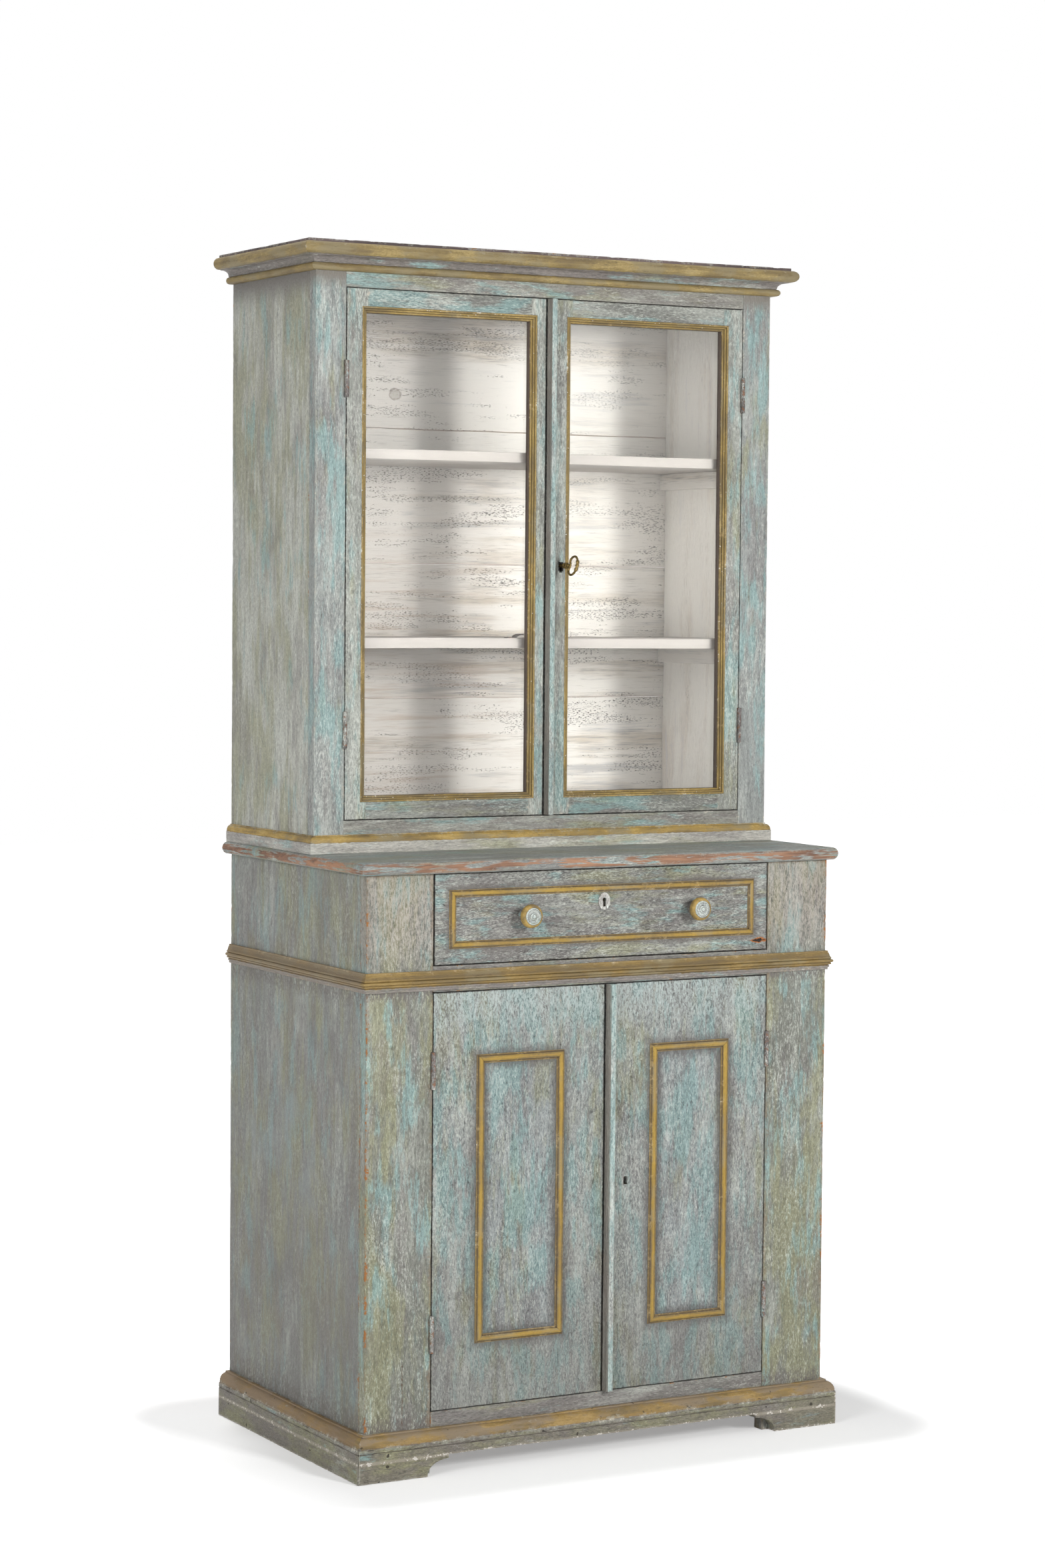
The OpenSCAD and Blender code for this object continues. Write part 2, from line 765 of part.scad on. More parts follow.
module sash(x, z, left_w, right_w, face_y) {
    difference() {
        sash_ring(x, z, left_w, right_w, face_y);
        for (cut = [x[0] + left_w, x[1] - right_w])
            slab([cut - seam / 2, face_y - 1, z[0] - 1], [cut + seam / 2, face_y + frame_t + 1, z[1] + 1]);
    }
}

function sight_x(x, left_w, right_w) = [x[0] + left_w, x[1] - right_w];
function sight_z(z) = [z[0] + sash_w, z[1] - sash_w];

module sash_reeds(x, z, left_w, right_w, face_y) {
    color(ochre)
        mitred_frame(reed_outline(),
            [x[0] + left_w - reed_w, x[1] - right_w + reed_w],
            [z[0] + sash_w - reed_w, z[1] - sash_w + reed_w], face_y);
}

module pane(x, z, left_w, right_w, face_y) {
    sx = sight_x(x, left_w, right_w);
    sz = sight_z(z);
    color("#cfdcd8", 0.35)
        slab([sx[0] - glass_lap, face_y + glass_y, sz[0] - glass_lap],
             [sx[1] + glass_lap, face_y + glass_y + glass_t, sz[1] + glass_lap]);
}

// Thin strips that hold the glass from behind
module pane_beads(x, z, left_w, right_w, face_y) {
    sx = sight_x(x, left_w, right_w);
    sz = sight_z(z);
    bead_t = frame_t - glass_y - glass_t;
    color(chalk)
        mitred_frame([[0, 0], [0, glass_lap], [-bead_t, glass_lap - 2], [-bead_t, 0]],
            [sx[0] - glass_lap, sx[1] + glass_lap], [sz[0] - glass_lap, sz[1] + glass_lap],
            face_y + glass_y + glass_t);
}

module upper_left_sash() {
    color(paint)
        difference() {
            sash(upper_left_edge, upper_door_z, sash_w, left_meeting_w, upper_y);
            for (z = upper_hinge_z)
                hinge_seat(-upper_pin_x, upper_pin_y, z, 1);
            bolt_mortise(upper_left_edge[1], upper_key[1], upper_y);
        }
}

module upper_left_reeds() {
    sash_reeds(upper_left_edge, upper_door_z, sash_w, left_meeting_w, upper_y);
}

module upper_left_glass() {
    pane(upper_left_edge, upper_door_z, sash_w, left_meeting_w, upper_y);
}

module upper_left_beads() {
    pane_beads(upper_left_edge, upper_door_z, sash_w, left_meeting_w, upper_y);
}

module upper_left_leaves() {
    door_leaves(upper_pin_x, upper_pin_y, upper_hinge_z);
}

module upper_right_sash() {
    color(paint)
        difference() {
            sash(upper_right_edge, upper_door_z, right_meeting_w, sash_w, upper_y);
            for (z = upper_hinge_z)
                mirror([1, 0, 0])
                    hinge_seat(-upper_pin_x, upper_pin_y, z, 1);
            lock_recess(upper_key, upper_backset, upper_y, 0);
            keyhole(upper_key, upper_y - 1, frame_t, 4.5, 6, 12);
        }
}

module upper_right_reeds() {
    sash_reeds(upper_right_edge, upper_door_z, right_meeting_w, sash_w, upper_y);
}

module upper_right_glass() {
    pane(upper_right_edge, upper_door_z, right_meeting_w, sash_w, upper_y);
}

module upper_right_beads() {
    pane_beads(upper_right_edge, upper_door_z, right_meeting_w, sash_w, upper_y);
}

module upper_right_leaves() {
    mirror([1, 0, 0])
        door_leaves(upper_pin_x, upper_pin_y, upper_hinge_z);
}

// Reeded strip along the right door's meeting edge
module meeting_strip(x, z, face_y, out) {
    slope_w = 3;
    reed = out / 4;
    outline = concat([[0, 0]],
        [for (k = [0 : 2]) for (p = arc_points(0, 0, reed / 2, -80, 80, 4))
            [slope_w * k / 3 - p[0] + reed / 2, (k + 0.5) * reed + p[1]]],
        [[slope_w, out], [strip_w - 1.5, out], [strip_w, out - 1.5], [strip_w, 0]]);
    color(paint)
        translate([x, face_y, z[0]])
            mirror([0, 1, 0])
                linear_extrude(z[1] - z[0])
                    polygon(outline);
}

module upper_meeting_strip() {
    meeting_strip(upper_right_edge[0], upper_door_z, upper_y, upper_strip_out);
}

module lower_meeting_strip() {
    meeting_strip(lower_right_edge[0], lower_door_z, lower_y, lower_strip_out);
}

// Locks: turn is 0 where the bolt leaves towards -X and 90 where it leaves upwards
module lock_place(key, front_y, turn) {
    translate([key[0], bolt_y(front_y), key[1]])
        rotate([0, turn, 0])
            children();
}

module lock_recess(key, backset, front_y, turn) {
    lock_place(key, front_y, turn)
        slab([-backset - 1, -lock_d / 2, -lock_half_h], [lock_tail, lock_d / 2 + 1, lock_half_h]);
}

module lock_case(key, backset, front_y, turn) {
    window_h = bolt_half_h + run_gap;
    window_t = bolt_t / 2 + run_gap;
    color(iron)
        difference() {
            lock_place(key, front_y, turn)
                difference() {
                    slab([-backset, -lock_d / 2, -lock_half_h], [lock_tail, lock_d / 2, lock_half_h]);
                    slab([-backset + lock_wall, -lock_d / 2 + lock_wall, -lock_half_h + lock_wall],
                         [lock_tail - lock_wall, lock_d / 2 - lock_wall, lock_half_h - lock_wall]);
                    slab([-backset - 1, -window_t, -window_h], [-backset + lock_wall + 1, window_t, window_h]);
                }
            keyhole(key, front_y, frame_t - lock_d / 2, shank_r + 0.8, 4, bit_sweep + 0.8);
        }
}

module lock_bolt(key, backset, front_y, turn) {
    color(iron)
        lock_place(key, front_y, turn)
            slab([-backset + run_gap, -bolt_t / 2, -bolt_half_h], [-bolt_tail, bolt_t / 2, bolt_half_h]);
}

// Slot that a thrown bolt enters in the other door's edge
module bolt_mortise(edge_x, z, front_y) {
    depth = bolt_throw - meeting_gap + 1.5;
    slab([edge_x - depth, bolt_y(front_y) - bolt_t / 2 - run_gap, z - bolt_half_h - run_gap],
         [edge_x + 1, bolt_y(front_y) + bolt_t / 2 + run_gap, z + bolt_half_h + run_gap]);
}

module upper_lock_case() {
    lock_case(upper_key, upper_backset, upper_y, 0);
}

module upper_lock_bolt() {
    lock_bolt(upper_key, upper_backset, upper_y, 0);
}

module lower_lock_case() {
    lock_case(lower_key, lower_backset, lower_y, 0);
}

module lower_lock_bolt() {
    lock_bolt(lower_key, lower_backset, lower_y, 0);
}

module drawer_lock_case() {
    lock_case(drawer_key, drawer_backset, lower_y, 90);
}

module drawer_lock_bolt() {
    lock_bolt(drawer_key, drawer_backset, lower_y, 90);
}

// Key in the upper lock: bit, shank, collar and a two-lobed bow with three beads
module door_key() {
    shank_in = frame_t - lock_wall - 1;
    collar_y = -19;
    bow_y = -27;
    bow_l = 34;
    lobe_x = 9;
    lobe_w = 11.5;
    bow_t = 4.5;
    bit_t = 2.6;
    bit_l = lock_d - 2 * lock_wall - 2;
    color(brass)
        translate([upper_key[0], upper_y, upper_key[1]])
            rotate([0, key_tilt, 0]) {
                translate([0, shank_in, 0])
                    rotate([90, 0, 0])
                        cylinder(r = shank_r, h = shank_in - bow_y + 5);
                translate([0, collar_y, 0])
                    rotate([90, 0, 0])
                        rotate_extrude()
                            polygon(concat([[0, 0]], oval_points(shank_r - 0.5, 3, 3, 3, -90, 90, 10), [[0, 6]]));
                slab([-bit_t / 2, shank_in - bit_l, -bit_sweep], [bit_t / 2, shank_in, 0]);
                translate([bow_t / 2, bow_y, 0])
                    rotate([0, -90, 0])
                        linear_extrude(bow_t)
                            difference() {
                                for (side = [-1, 1])
                                    polygon(oval_points(side * lobe_x, -bow_l / 2, lobe_w, bow_l / 2, 0, 345, 23));
                                for (side = [-1, 1])
                                    polygon(oval_points(side * (lobe_x + 0.5), -bow_l / 2, lobe_w - 5,
                                        bow_l / 2 - 5, 0, 345, 23));
                                translate([-lobe_x / 2, -bow_l / 2 - 3])
                                    square([lobe_x, 8]);
                            }
                for (side = [-1, 0, 1])
                    translate([0, bow_y - bow_l + 3.2 + 2.4 * cos(90 * side), side * 7])
                        sphere(r = 3.5);
            }
}

// Lower doors: two stiles, two rails and a flush panel with a bead laid over the joint
module door_frame(x, z, left_w, right_w, end_w, face_y) {
    slab([x[0], face_y, z[0]], [x[0] + left_w, face_y + frame_t, z[1]]);
    slab([x[1] - right_w, face_y, z[0]], [x[1], face_y + frame_t, z[1]]);
    slab([x[0] + left_w + seam, face_y, z[0]], [x[1] - right_w - seam, face_y + frame_t, z[0] + end_w]);
    slab([x[0] + left_w + seam, face_y, z[1] - end_w], [x[1] - right_w - seam, face_y + frame_t, z[1]]);
}

half_bead = panel_bead_w / 2;
panel_t = 14;
panel_end_w = panel_end + half_bead;

module door_panel(x, left_w, right_w) {
    color(paint)
        slab([x[0] + left_w, lower_y, lower_door_z[0] + panel_end_w],
             [x[1] - right_w, lower_y + panel_t, lower_door_z[1] - panel_end_w]);
}

module panel_bead(x, left_w, right_w) {
    color(ochre)
        mitred_frame(bead_outline(panel_bead_w), [x[0] + left_w, x[1] - right_w],
            [lower_door_z[0] + panel_end, lower_door_z[1] - panel_end], lower_y);
}

module lower_left_frame() {
    color(paint)
        difference() {
            door_frame(lower_left_edge, lower_door_z, left_panel_hinge + half_bead,
                left_panel_meet + half_bead, panel_end_w, lower_y);
            for (z = lower_hinge_z)
                hinge_seat(-lower_pin_x, lower_pin_y, z, 1);
            bolt_mortise(lower_left_edge[1], lower_key[1], lower_y);
        }
}

module lower_left_panel() {
    door_panel(lower_left_edge, left_panel_hinge + half_bead, left_panel_meet + half_bead);
}

module lower_left_bead() {
    panel_bead(lower_left_edge, left_panel_hinge, left_panel_meet);
}

module lower_left_leaves() {
    door_leaves(lower_pin_x, lower_pin_y, lower_hinge_z);
}

module lower_right_frame() {
    color(paint)
        difference() {
            door_frame(lower_right_edge, lower_door_z, right_panel_meet + half_bead,
                right_panel_hinge + half_bead, panel_end_w, lower_y);
            for (z = lower_hinge_z)
                mirror([1, 0, 0])
                    hinge_seat(-lower_pin_x, lower_pin_y, z, 1);
            lock_recess(lower_key, lower_backset, lower_y, 0);
            keyhole(lower_key, lower_y - 1, frame_t, 4.2, 8, 10);
        }
}

module lower_right_panel() {
    door_panel(lower_right_edge, right_panel_meet + half_bead, right_panel_hinge + half_bead);
}

module lower_right_bead() {
    panel_bead(lower_right_edge, right_panel_meet, right_panel_hinge);
}

module lower_right_leaves() {
    mirror([1, 0, 0])
        door_leaves(lower_pin_x, lower_pin_y, lower_hinge_z);
}

// Drawer
module knob_place() {
    for (side = [-1, 1])
        translate([knob_shift + side * knob_spacing / 2, lower_y, knob_centre_z])
            rotate([90, 0, 0])
                children();
}

module drawer_front() {
    color(paint)
        difference() {
            slab([-drawer_x, lower_y, drawer_front_z[0]], [drawer_x, lower_y + frame_t, drawer_front_z[1]]);
            lock_recess(drawer_key, drawer_backset, lower_y, 90);
            keyhole(drawer_key, lower_y - 1, frame_t, 3.8, 5.4, 12);
            knob_place()
                translate([0, 0, -tenon_l - run_gap])
                    cylinder(r = tenon_r + pin_fit, h = tenon_l + 2);
        }
}

module drawer_sides() {
    color(bare)
        both_sides()
            slab([-drawer_x, drawer_box_y[0], drawer_z + run_gap],
                 [-drawer_x + drawer_side_t, drawer_box_y[1], drawer_side_top]);
}

// Height of the drawer's bottom over its runners
drawer_bottom_z = drawer_z + 8;

module drawer_back() {
    color(bare)
        slab([-drawer_x + drawer_side_t, drawer_box_y[1] - drawer_side_t, drawer_bottom_z + drawer_bottom_t],
             [drawer_x - drawer_side_t, drawer_box_y[1], drawer_side_top - 6]);
}

module drawer_bottom() {
    color(bare)
        slab([-drawer_x + drawer_side_t, drawer_box_y[0], drawer_bottom_z],
             [drawer_x - drawer_side_t, drawer_box_y[1], drawer_bottom_z + drawer_bottom_t]);
}

module drawer_bead() {
    color(ochre)
        mitred_frame(bead_outline(drawer_bead_w), [-drawer_x + drawer_bead_end, drawer_x - drawer_bead_end],
            [drawer_z + drawer_bead_low, lower_h - drawer_bead_high], lower_y);
}

// Turned knobs with a tenon that goes into the drawer front
module drawer_knobs() {
    rim = knob_out - 11;
    face = knob_out - 4;
    profile = concat([[0, -tenon_l], [tenon_r, -tenon_l], [tenon_r, 0], [11, 0], [11, 2], [8.5, 4]],
        [[8, rim - 14], [knob_r / 2, rim - 8], [knob_r - 3, rim - 4]],
        arc_points(knob_r - 3.5, rim, 3.5, -60, 60, 6),
        [[knob_r - 5, face - 1], [knob_r - 5, face + 1], [knob_r - 6.5, face + 1.6], [knob_r - 9, face]],
        [[7.4, face], [7.2, face + 2], [4, knob_out - 0.4], [0, knob_out]]);
    color(ochre)
        knob_place()
            rotate_extrude()
                polygon(profile);
}

// Oval iron plate round the drawer's keyhole
module drawer_escutcheon() {
    plate_t = 1.8;
    plate_w = 23.5;
    plate_h = 30;
    color(iron)
        difference() {
            translate([drawer_key[0], lower_y, drawer_key[1] - 2.5])
                rotate([90, 0, 0])
                    linear_extrude(plate_t)
                        polygon(oval_points(0, 0, plate_w / 2, plate_h / 2, 0, 350, 35));
            keyhole(drawer_key, lower_y - plate_t - 1, plate_t + 2, 3.7, 5.2, 12);
        }
}

lower_side_left();
lower_side_right();
lower_stiles();
lower_rails();
lower_deck();
lower_back_boards();
lower_shelf();
shelf_cleats();
drawer_runners();
waist_moulding();
plinth_boards();
plinth_moulding();
table_top();
upper_side_left();
upper_side_right();
upper_stiles();
upper_rails();
upper_deck();
upper_back_boards();
upper_shelves();
base_moulding();
cornice_moulding();
cornice_board();
case_hinge_leaves();
hinge_pins();
shelf_catch();
upper_left_sash();
upper_left_reeds();
upper_left_glass();
upper_left_beads();
upper_left_leaves();
upper_right_sash();
upper_right_reeds();
upper_right_glass();
upper_right_beads();
upper_right_leaves();
upper_meeting_strip();
upper_lock_case();
upper_lock_bolt();
door_key();
lower_left_frame();
lower_left_panel();
lower_left_bead();
lower_left_leaves();
lower_right_frame();
lower_right_panel();
lower_right_bead();
lower_right_leaves();
lower_meeting_strip();
lower_lock_case();
lower_lock_bolt();
drawer_front();
drawer_sides();
drawer_back();
drawer_bottom();
drawer_bead();
drawer_knobs();
drawer_escutcheon();
drawer_lock_case();
drawer_lock_bolt();
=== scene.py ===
import json
from math import ceil, cos, pi, radians, sin
import bmesh
import bpy
from mathutils import Matrix, Vector, noise

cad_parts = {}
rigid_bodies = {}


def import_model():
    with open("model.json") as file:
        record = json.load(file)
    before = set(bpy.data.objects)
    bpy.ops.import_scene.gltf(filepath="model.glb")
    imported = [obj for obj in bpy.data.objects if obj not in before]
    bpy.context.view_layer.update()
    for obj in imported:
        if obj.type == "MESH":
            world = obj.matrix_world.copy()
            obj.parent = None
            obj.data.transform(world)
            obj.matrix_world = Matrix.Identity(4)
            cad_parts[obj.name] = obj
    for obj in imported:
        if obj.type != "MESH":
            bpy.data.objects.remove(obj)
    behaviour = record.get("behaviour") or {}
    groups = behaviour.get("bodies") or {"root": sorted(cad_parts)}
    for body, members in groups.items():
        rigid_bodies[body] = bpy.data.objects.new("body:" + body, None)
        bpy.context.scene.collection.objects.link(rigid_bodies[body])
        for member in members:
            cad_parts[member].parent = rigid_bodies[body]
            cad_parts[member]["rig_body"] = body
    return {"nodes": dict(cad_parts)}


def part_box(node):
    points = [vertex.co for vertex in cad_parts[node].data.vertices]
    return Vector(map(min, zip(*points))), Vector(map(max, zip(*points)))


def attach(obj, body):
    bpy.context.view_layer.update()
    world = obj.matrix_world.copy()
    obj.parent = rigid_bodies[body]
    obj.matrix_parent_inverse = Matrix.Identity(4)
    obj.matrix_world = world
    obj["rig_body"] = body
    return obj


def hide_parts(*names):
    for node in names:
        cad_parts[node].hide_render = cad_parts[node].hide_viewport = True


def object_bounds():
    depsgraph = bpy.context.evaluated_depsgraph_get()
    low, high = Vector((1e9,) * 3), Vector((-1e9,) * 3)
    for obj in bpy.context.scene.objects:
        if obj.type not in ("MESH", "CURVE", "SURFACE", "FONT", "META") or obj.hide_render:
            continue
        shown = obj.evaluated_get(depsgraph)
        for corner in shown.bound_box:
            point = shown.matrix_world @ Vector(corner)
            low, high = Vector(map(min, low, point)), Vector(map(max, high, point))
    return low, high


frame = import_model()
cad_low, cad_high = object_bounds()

# The room. A white floor in even white surroundings, a broad soft lamp a little right of the front
# and a weaker one far round to the left, which lights the sides of the cases.

scene = bpy.context.scene
scene.view_settings.view_transform = "Standard"


def mesh_object(name, points, faces):
    mesh = bpy.data.meshes.new(name)
    mesh.from_pydata(points, [], faces)
    made = bpy.data.objects.new(name, mesh)
    scene.collection.objects.link(made)
    return made


floor_half, floor_colour, sky_light = 14.0, 0.80, 0.27
footprint = (0.50, 0.28, 0.0)
shade_from, shade_to, near_glow, far_glow = 0.11, 0.25, 0.31, 1.0
floor = mesh_object("floor", [(x * floor_half, y * floor_half, 0) for x,
                              y in ((-1, -1), (1, -1), (1, 1), (-1, 1))], [(0, 1, 2, 3)])


def seen_directly(tree):
    """1 for rays from the camera or by way of metal and glass, which see the white background."""
    path = tree.nodes.new("ShaderNodeLightPath")
    seen = path.outputs["Is Camera Ray"]
    for name in ("Is Glossy Ray", "Is Transmission Ray"):
        higher = tree.nodes.new("ShaderNodeMath")
        higher.operation = "MAXIMUM"
        tree.links.new(seen, higher.inputs[0])
        tree.links.new(path.outputs[name], higher.inputs[1])
        seen = higher.outputs[0]
    return seen


floor_paint = bpy.data.materials.new("white floor")
floor_paint.use_nodes = True
floor.data.materials.append(floor_paint)
floor_shader = floor_paint.node_tree.nodes["Principled BSDF"]
floor_shader.inputs["Base Color"].default_value = (floor_colour, floor_colour, floor_colour, 1)
floor_shader.inputs["Roughness"].default_value = 0.95
floor_shader.inputs["Specular IOR Level"].default_value = 0.0
floor_shader.inputs["Emission Color"].default_value = (1, 1, 1, 1)
# The floor glows where it is seen directly. This painted brightness is weaker within a band round the foot of the
# piece, so that its shadow shows there, and is full white further out.
glow = floor_paint.node_tree.nodes.new("ShaderNodeMath")
glow.operation = "MULTIPLY"
outward = floor_paint.node_tree.nodes.new("ShaderNodeTexCoord").outputs["Object"]
for operation, value in (("ABSOLUTE", None), ("SUBTRACT", footprint), ("MAXIMUM", (0, 0, 0)), ("LENGTH", None)):
    spread = floor_paint.node_tree.nodes.new("ShaderNodeVectorMath")
    spread.operation = operation
    floor_paint.node_tree.links.new(outward, spread.inputs[0])
    if value:
        spread.inputs[1].default_value = value
    outward = spread.outputs["Value" if operation == "LENGTH" else "Vector"]
further = floor_paint.node_tree.nodes.new("ShaderNodeMapRange")
further.interpolation_type = "SMOOTHSTEP"
for title, value in (("From Min", shade_from), ("From Max", shade_to), ("To Min", near_glow),
                     ("To Max", far_glow)):
    further.inputs[title].default_value = value
floor_paint.node_tree.links.new(outward, further.inputs["Value"])
floor_paint.node_tree.links.new(further.outputs["Result"], glow.inputs[1])
floor_paint.node_tree.links.new(seen_directly(floor_paint.node_tree), glow.inputs[0])
floor_paint.node_tree.links.new(glow.outputs[0], floor_shader.inputs["Emission Strength"])

sky = bpy.data.worlds.new("even white surroundings")
scene.world = sky
sky.use_nodes = True
sky_shader = sky.node_tree.nodes["Background"]
sky_shader.inputs["Color"].default_value = (1, 1, 1, 1)
brightness = sky.node_tree.nodes.new("ShaderNodeMapRange")
brightness.inputs["To Min"].default_value = sky_light
brightness.inputs["To Max"].default_value = 1.0
sky.node_tree.links.new(seen_directly(sky.node_tree), brightness.inputs["Value"])
sky.node_tree.links.new(brightness.outputs["Result"], sky_shader.inputs["Strength"])


middle_of_piece = Vector((0, 0, 1.15))


def soft_lamp(name, bearing, reach, height, wide, tall, watts):
    """A soft lamp aimed at the middle of the piece; its bearing is in degrees from straight in front."""
    lamp = bpy.data.lights.new(name, "AREA")
    lamp.shape, lamp.size, lamp.size_y, lamp.energy = "RECTANGLE", wide, tall, watts
    made = bpy.data.objects.new(name, lamp)
    scene.collection.objects.link(made)
    made.location = (sin(radians(bearing)) * reach, -cos(radians(bearing)) * reach, height)
    made.rotation_euler = (middle_of_piece - made.location).to_track_quat("-Z", "Y").to_euler()


soft_lamp("front_lamp", 11, 3.9, 1.95, 0.5, 0.8, 101)
soft_lamp("side_lamp", -62, 3.8, 1.8, 1.4, 1.6, 58)
soft_lamp("top_lamp", 193, 1.15, 8.0, 0.5, 0.5, 197)

# The camera stands where the photograph was taken from, 6.2 m away and 1.5 m up.

camera_turn, camera_dip, camera_roll = radians(-29.15), radians(3.07), radians(0.47)
camera_place = Vector((-3.0130, -5.3600, 1.4875))
camera_data = bpy.data.cameras.new("camera")
camera_data.lens, camera_data.sensor_width = 78.54, 36.0
camera = bpy.data.objects.new("camera", camera_data)
scene.collection.objects.link(camera)
ahead = Vector((-sin(camera_turn) * cos(camera_dip), cos(camera_turn) * cos(camera_dip), -sin(camera_dip)))
level = Vector((cos(camera_turn), sin(camera_turn), 0))
unrolled = level.cross(ahead)
right = cos(camera_roll) * level + sin(camera_roll) * unrolled
above = cos(camera_roll) * unrolled - sin(camera_roll) * level
camera.matrix_world = Matrix([(right[i], above[i], -ahead[i], camera_place[i]) for i in range(3)] + [(0, 0, 0,
        1)])
scene.camera = camera

# The side boards of the lower case. Each is one softwood board on edge, rebated for the back and
# cut out at the foot, and brushed outside with several thin coats of grey-green and blue-green
# distemper that were rubbed back between coats. Inside it is bare.


def colour(code):
    """A colour such as "#8f9c96" as Blender's linear red, green, blue and alpha."""
    shares = [int(code[i:i + 2], 16) / 255 for i in (1, 3, 5)]
    return [s / 12.92 if s <= 0.04045 else ((s + 0.055) / 1.055) ** 2.4 for s in shares] + [1.0]


class Recipe:
    """Adds shader nodes to a tree. A value may be a number, a colour or another node's socket."""

    def __init__(self, tree):
        self.tree = tree

    def feed(self, socket, value):
        if isinstance(value, bpy.types.NodeSocket):
            self.tree.links.new(value, socket)
        else:
            socket.default_value = value

    def put(self, kind, settings=None, **values):
        made = self.tree.nodes.new("ShaderNode" + kind)
        for name, value in (settings or {}).items():
            setattr(made, name, value)
        for name, value in values.items():
            self.feed(made.inputs[name.replace("_", " ")], value)
        return made

    def calc(self, operation, first, second=0.0):
        made = self.put("Math", {"operation": operation})
        self.feed(made.inputs[0], first)
        self.feed(made.inputs[1], second)
        return made.outputs[0]

    def plus(self, first, second):
        return self.calc("ADD", first, second)

    def less(self, first, second):
        return self.calc("SUBTRACT", first, second)

    def opposite(self, value):
        return self.less(1.0, value)

    def size(self, value):
        return self.calc("ABSOLUTE", value)

    def times(self, total, *values):
        for value in values:
            total = self.calc("MULTIPLY", total, value)
        return total

    def blend(self, *pairs):
        """The sum of the given values, each times its share: (value, share), ..."""
        total = self.times(*pairs[0])
        for value, share in pairs[1:]:
            total = self.plus(total, self.times(value, share))
        return total

    def vector(self, operation, first, second):
        made = self.put("VectorMath", {"operation": operation})
        self.feed(made.inputs[0], first)
        self.feed(made.inputs[1], second)
        return made.outputs[0]

    def softened(self, where, strokes, share):
        """The place stretched along the strokes by only this share of the stretching."""
        strokes = self.vector("ADD", self.vector("MULTIPLY", strokes, (share,) * 3), (1 - share,) * 3)
        return self.vector("MULTIPLY", where, strokes)

    def noise(self, where, scale, detail=3.0, rough=0.55, bend=0.0, shift=None):
        if shift:
            where = self.vector("ADD", where, shift)
        return self.put("TexNoise", Vector=where, Scale=scale, Detail=detail, Roughness=rough,
                        Distortion=bend).outputs["Fac"]

    def step(self, value, low, high):
        """0 below low, 1 above high and a smooth rise between them."""
        made = self.put("MapRange", {"interpolation_type": "SMOOTHSTEP"}, Value=value)
        self.feed(made.inputs["From Min"], low)
        self.feed(made.inputs["From Max"], high)
        return made.outputs["Result"]

    def mix(self, share, first, second, blend="MIX"):
        made = self.put("Mix", {"data_type": "RGBA", "blend_type": blend})
        for socket, value in zip((made.inputs[0], made.inputs[6], made.inputs[7]), (share, first, second)):
            self.feed(socket, value)
        return made.outputs[2]


def shader_group(name, takes, gives):
    """An empty node group with named sockets: its recipe, its input values and its output sockets."""
    tree = bpy.data.node_groups.new(name, "ShaderNodeTree")
    for title, value in takes.items():
        kind = "Float" if isinstance(value, (int, float)) else "Vector" if len(value) == 3 else "Color"
        tree.interface.new_socket(name=title, in_out="INPUT",
                                  socket_type="NodeSocket" + kind).default_value = value
    for title, kind in gives.items():
        tree.interface.new_socket(name=title, in_out="OUTPUT", socket_type="NodeSocket" + kind)
    return Recipe(tree), tree.nodes.new("NodeGroupInput").outputs, tree.nodes.new("NodeGroupOutput").inputs


layer_sockets = {"Color": "Color", "Roughness": "Float", "Height": "Float"}

# Brushed distemper: patches of blue-green, olive, violet grey and chalky white over one ground colour, with
# painted light and shade on the relief of the crust. "Strokes" shortens the pattern along two axes, so that it
# runs along the brush strokes.
r, given, result = shader_group("brushed distemper", {
    "Where": (0, 0, 0), "Strokes": (1, 1, 0.08), "Ground": colour("#8f958f"), "Blue": colour("#8eb2b1"),
    "Olive": colour("#95946f"), "Violet": colour("#7b7473"), "Chalk": colour("#dde1d8"), "Pit": colour("#3d3835"),
    "Blue Share": 0.3, "Olive Share": 0.3, "Violet Share": 0.3, "Chalk Share": 0.3, "Pit Share": 0.2,
    "Crust": 0.5}, layer_sockets)
stroke = r.vector("MULTIPLY", given["Where"], given["Strokes"])
soft_stroke = r.softened(given["Where"], given["Strokes"], 0.75)
hair = r.noise(stroke, 800, 2, 0.7)
streak = r.noise(stroke, 150, 4, 0.66, shift=(3.1, 1.7, 0.9))
grain = r.noise(soft_stroke, 430, 4, 0.78, 0.4)
curl = r.noise(soft_stroke, 150, 3, 0.6, 1.5, shift=(1.3, 7.1, 4.4))
wrinkle = r.opposite(r.calc("MINIMUM", 1.0, r.times(r.size(r.less(curl, 0.5)), 7.0)))
relief = r.blend((grain, r.plus(0.60, r.times(given["Crust"], 0.50))), (wrinkle, r.times(given["Crust"], 0.24)),
                 (streak, 0.26), (hair, 0.50))
relief = r.less(relief, r.plus(0.18, r.times(given["Crust"], 0.358)))
